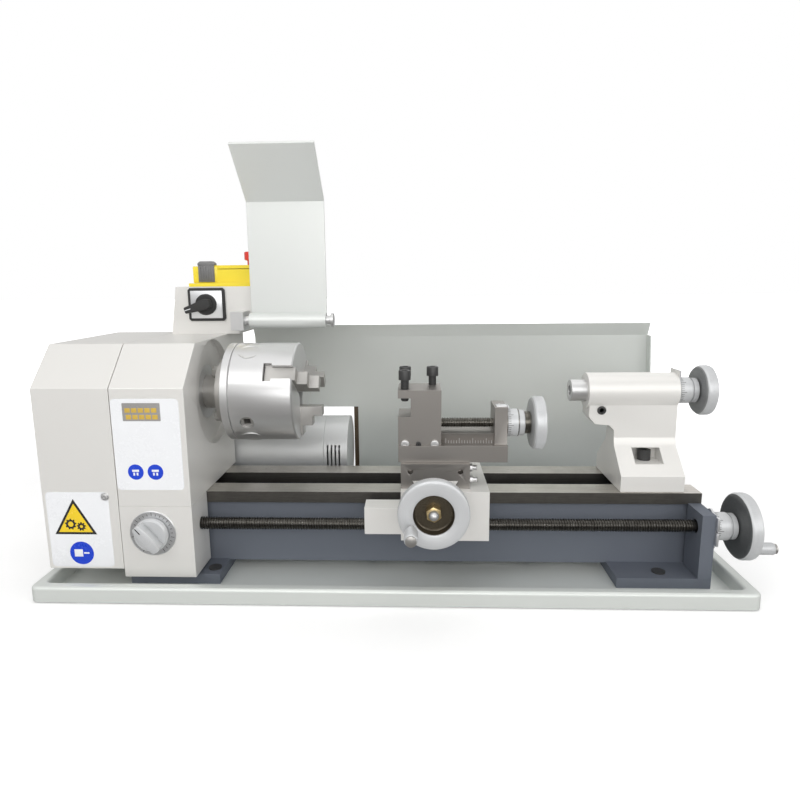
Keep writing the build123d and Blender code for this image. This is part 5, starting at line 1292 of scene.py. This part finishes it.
@dataclass
class Switches:
    """The switch tower with its selector, yellow stop box and buttons."""

    selector: Point = (-163.5, 42.5, 213.0)
    pointer_tilt: float = -17.0

    def build(self) -> None:
        """Builds the tower's pieces."""
        castings("frame", {"switch_tower": (GREY_PAINT, 1.2), "control_plates": (PLATE, 0.3),
                           "switch_frame": (YELLOW, 0.8)})
        self._selector()
        self._latch()
        castings("start_button", {"start_button": (GREEN, 0.5)})
        castings("stop_button", {"stop_button": (RED, 0.5)})
        castings("switch_lid", {"switch_lid": (YELLOW, 0.7)})
        castings("mushroom_button", {"mushroom_button": (RED, 0.9)})

    def _selector(self) -> None:
        """Builds the selector's dark surround, its ring and its pointer knob."""
        x, face, z = self.selector
        surround = Piece("selector_surround", "frame", [BLACK_PLASTIC, PLATE])
        surround.prism([(-14.4, -14.6), (-12.6, -16.4), (12.6, -16.4), (14.4, -14.6), (14.4, 14.6),
                        (12.6, 16.4),
                        (-12.6, 16.4), (-14.4, 14.6)], Axis.Y.frame((x, 0, z)), face - 0.4, face + 1.4, 0.3)
        surround.bar((x - 14.0, face - 0.9, z - 12.0), (x + 14.0, face, z + 12.0), 0.3, 1)
        surround.place()
        knob = Piece("selector_knob_part", "selector_knob", [BLACK_PLASTIC, LABEL])
        out = front_frame((x, 0, z))
        knob.turned([(-41.4, 0), (-41.4, 9.2), (-39.2, 9.2), (-38.6, 8.6), (-37.8, 8.0), (-37.8, 0)], out, 48)
        arm = Matrix.Translation((x, 0, z)) @ Matrix.Rotation(math.radians(self.pointer_tilt), 4, "Y")
        knob.prism([(-17.0, -2.7), (-17.0, 2.7), (2.0, 4.6), (6.4, 3.2), (6.4, -3.2), (2.0, -4.6)],
                   arm @ UPRIGHT, 30.6, 38.2, 0.9)
        knob.bar((-16.4, 30.5, -0.3), (-11.0, 31.0, 0.3), 0.0, 1, arm)
        knob.place(["selector_knob"])

    def _latch(self) -> None:
        """Builds the ribbed catch at the lid's free end."""
        catch = Piece("lid_catch", "switch_lid", [GREY_PLASTIC])
        catch.prism([(-172.6, 246.9), (-157.4, 246.9), (-157.4, 248.8), (-159.6, 250.6), (-170.4, 250.6),
                     (-172.6, 248.8)], UPRIGHT, 50.6, 58.0, 0.4)
        catch.bar((-172.2, 50.8, 232.5), (-157.8, 51.7, 247.2), 0.25)
        for k in range(6):
            x = -171.0 + 2.3 * k
            catch.bar((x, 50.3, 234.0), (x + 1.0, 51.2, 246.8), 0.2)
        catch.place()
        frame = Piece("lid_frame", "switch_lid", [YELLOW])
        frame.bar((-177.5, 51.9, 231.6), (-155.0, 62.0, 246.3), 0.8).place()


@dataclass
class ChuckGuard:
    """The hinged sheet guard over the chuck and its arbor."""

    def build(self) -> None:
        """Builds the guard's pieces."""
        castings("chuck_guard", {"chuck_guard": (GUARD_PAINT, 0.6)})
        castings("frame", {"guard_arbor": (BRIGHT_STEEL, 0.4)})


@dataclass
class Drive:
    """The belt and gear drive under the cover, carried over from the CAD nodes."""

    def build(self, nodes: dict[str, bpy.types.Object]) -> None:
        """Dresses the drive's CAD nodes.

        Args:
            nodes: The frame's CAD nodes by name.
        """
        finishes = {"drive_belt": BELT, "spindle_drive_set": PULLEY, "motor_rotor": PULLEY,
                    "stud_gear": GEAR_PLASTIC}
        for name, finish in finishes.items():
            nodes[name].data.materials.clear()
            nodes[name].data.materials.append(finish.material())
            LOG.info("%s: carried over", name)


@dataclass
class Studio:
    """The pale floor, the soft light and the camera."""

    eye: Point = (22.0, -496.9, 232.4)
    yaw: float = 0.0408
    pitch: float = 0.1814
    roll: float = -0.0097
    lens: float = 27.61
    shift: Flat = (0.0089, -0.0089)

    def build(self) -> None:
        """Builds the whole studio."""
        self._floor()
        self._light()
        self._camera()

    def _floor(self) -> None:
        """Builds the floor."""
        grey = Finish("studio_floor", "", (0.90, 0.90, 0.90), (0.87, 0.87, 0.87), (0.6, 0.7),
                      texture=Texture.MOULDED, scale=30.0, bump=0.001, corner_shade=0.0)
        shape = bmesh.new()
        bmesh.ops.create_grid(shape, x_segments=4, y_segments=4, size=8.0,
                              matrix=Matrix.Translation((0, 0, -0.0008)))
        data = bpy.data.meshes.new("floor")
        shape.to_mesh(data)
        shape.free()
        data.materials.append(self._lifted(grey.material()))
        floor = bpy.data.objects.new("floor", data)
        bpy.context.scene.collection.objects.link(floor)

    @staticmethod
    def _lifted(material: bpy.types.Material) -> bpy.types.Material:
        """Makes the floor glow a little to the eye, and gives metal a painted dark reflection of it."""
        graph = Graph(material.node_tree)
        shader = material.node_tree.nodes["Principled BSDF"]
        path = graph.add("LightPath").outputs
        old = shader.inputs["Base Color"].links[0].from_socket
        # painted reflection: glossy rays see the floor as dark grey, so metal mirrors a dark room
        painted_reflection = graph.add("Mix", {0: path["Is Glossy Ray"], 6: old, 7: (0.16, 0.155, 0.15, 1.0)},
                             data_type="RGBA")
        graph.tree.links.new(painted_reflection.outputs[2], shader.inputs["Base Color"])
        place = graph.add("TexCoord").outputs["Object"]
        away = graph.add("VectorMath", {0: place}, operation="LENGTH").outputs["Value"]
        share = graph.remap(away, 0.5, 1.1, 0.2, 1.0)
        glow = graph.add("Mix", {0: path["Is Camera Ray"], 6: (0, 0, 0, 1), 7: share}, data_type="RGBA")
        graph.tree.links.new(glow.outputs[2], shader.inputs["Emission Color"])
        shader.inputs["Emission Strength"].default_value = 1.0
        return material

    def _light(self) -> None:
        """Builds the soft boxes and the sky."""
        boxes = (("key", (-0.9, -1.5, 1.4), 1.2, 8.0), ("fill", (1.3, -1.4, 0.8), 1.0, 6.0),
                 ("front", (0.1, -1.9, 0.7), 1.0, 8.0), ("top", (0.1, 0.0, 1.9), 1.6, 6.0),
                 ("back", (0.6, 1.6, 1.2), 1.4, 4.0))
        for name, place, size, power in boxes:
            data = bpy.data.lights.new(name, "AREA")
            data.energy, data.size, data.color = power, size, (1.0, 0.995, 0.985)
            lamp = bpy.data.objects.new(name, data)
            lamp.location = place
            lamp.rotation_euler = (Vector((0, 0, 0.1)) - Vector(place)).to_track_quat("-Z", "Y").to_euler()
            bpy.context.scene.collection.objects.link(lamp)
        world = bpy.data.worlds.new("studio_sky")
        bpy.context.scene.world = world
        world.use_nodes = True
        graph = Graph(world.node_tree)
        back = world.node_tree.nodes["Background"]
        back.inputs[0].default_value = (1.0, 1.0, 1.0, 1.0)
        back.inputs[1].default_value = 1.0
        height = graph.add("SeparateXYZ", {0: graph.add("TexCoord").outputs["Generated"]}).outputs
        grey = graph.add("ValToRGB", {0: graph.remap(height[2], -0.4, 0.9)})
        grey.color_ramp.elements[0].color = (0.46, 0.46, 0.46, 1.0)
        grey.color_ramp.elements[1].color = (0.66, 0.66, 0.66, 1.0)
        room = graph.add("Background", {0: grey.outputs[0], 1: 1.0})
        seen = graph.add("LightPath").outputs["Is Camera Ray"]
        both = graph.add("MixShader", {0: seen, 1: room.outputs[0], 2: back.outputs[0]})
        graph.tree.links.new(both.outputs[0], world.node_tree.nodes["World Output"].inputs[0])
        bpy.context.scene.view_settings.view_transform = "Standard"

    def _camera(self) -> None:
        """Builds the camera at the operator's side."""
        ahead = Vector((-math.sin(self.yaw) * math.cos(self.pitch), math.cos(self.yaw) * math.cos(self.pitch),
                        -math.sin(self.pitch)))
        level = Vector((math.cos(self.yaw), math.sin(self.yaw), 0.0))
        upright = level.cross(ahead)
        right = math.cos(self.roll) * level + math.sin(self.roll) * upright
        up = -math.sin(self.roll) * level + math.cos(self.roll) * upright
        turn = Matrix((right, up, -ahead)).transposed()
        data = bpy.data.cameras.new("camera")
        data.lens, data.sensor_width = self.lens, 36.0
        data.shift_x, data.shift_y = self.shift
        data.clip_start, data.clip_end = 0.01, 50.0
        camera = bpy.data.objects.new("camera", data)
        camera.matrix_world = Matrix.Translation(Vector(self.eye) * MM) @ turn.to_4x4()
        bpy.context.scene.collection.objects.link(camera)
        bpy.context.scene.camera = camera


def main() -> None:
    """Builds the whole lathe round its frame."""
    logging.basicConfig(level=logging.INFO, format="%(message)s")
    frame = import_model()
    for part in (TrayAndSplash(), Bed(), Headstock(), Chuck(), Leadscrew(), Carriage(), Tailstock(),
                 Switches(),
                 ChuckGuard()):
        LOG.info("building %s", type(part).__name__)
        part.build()
    Drive().build(frame["nodes"])
    Studio().build()


if __name__ == "__main__":
    main()
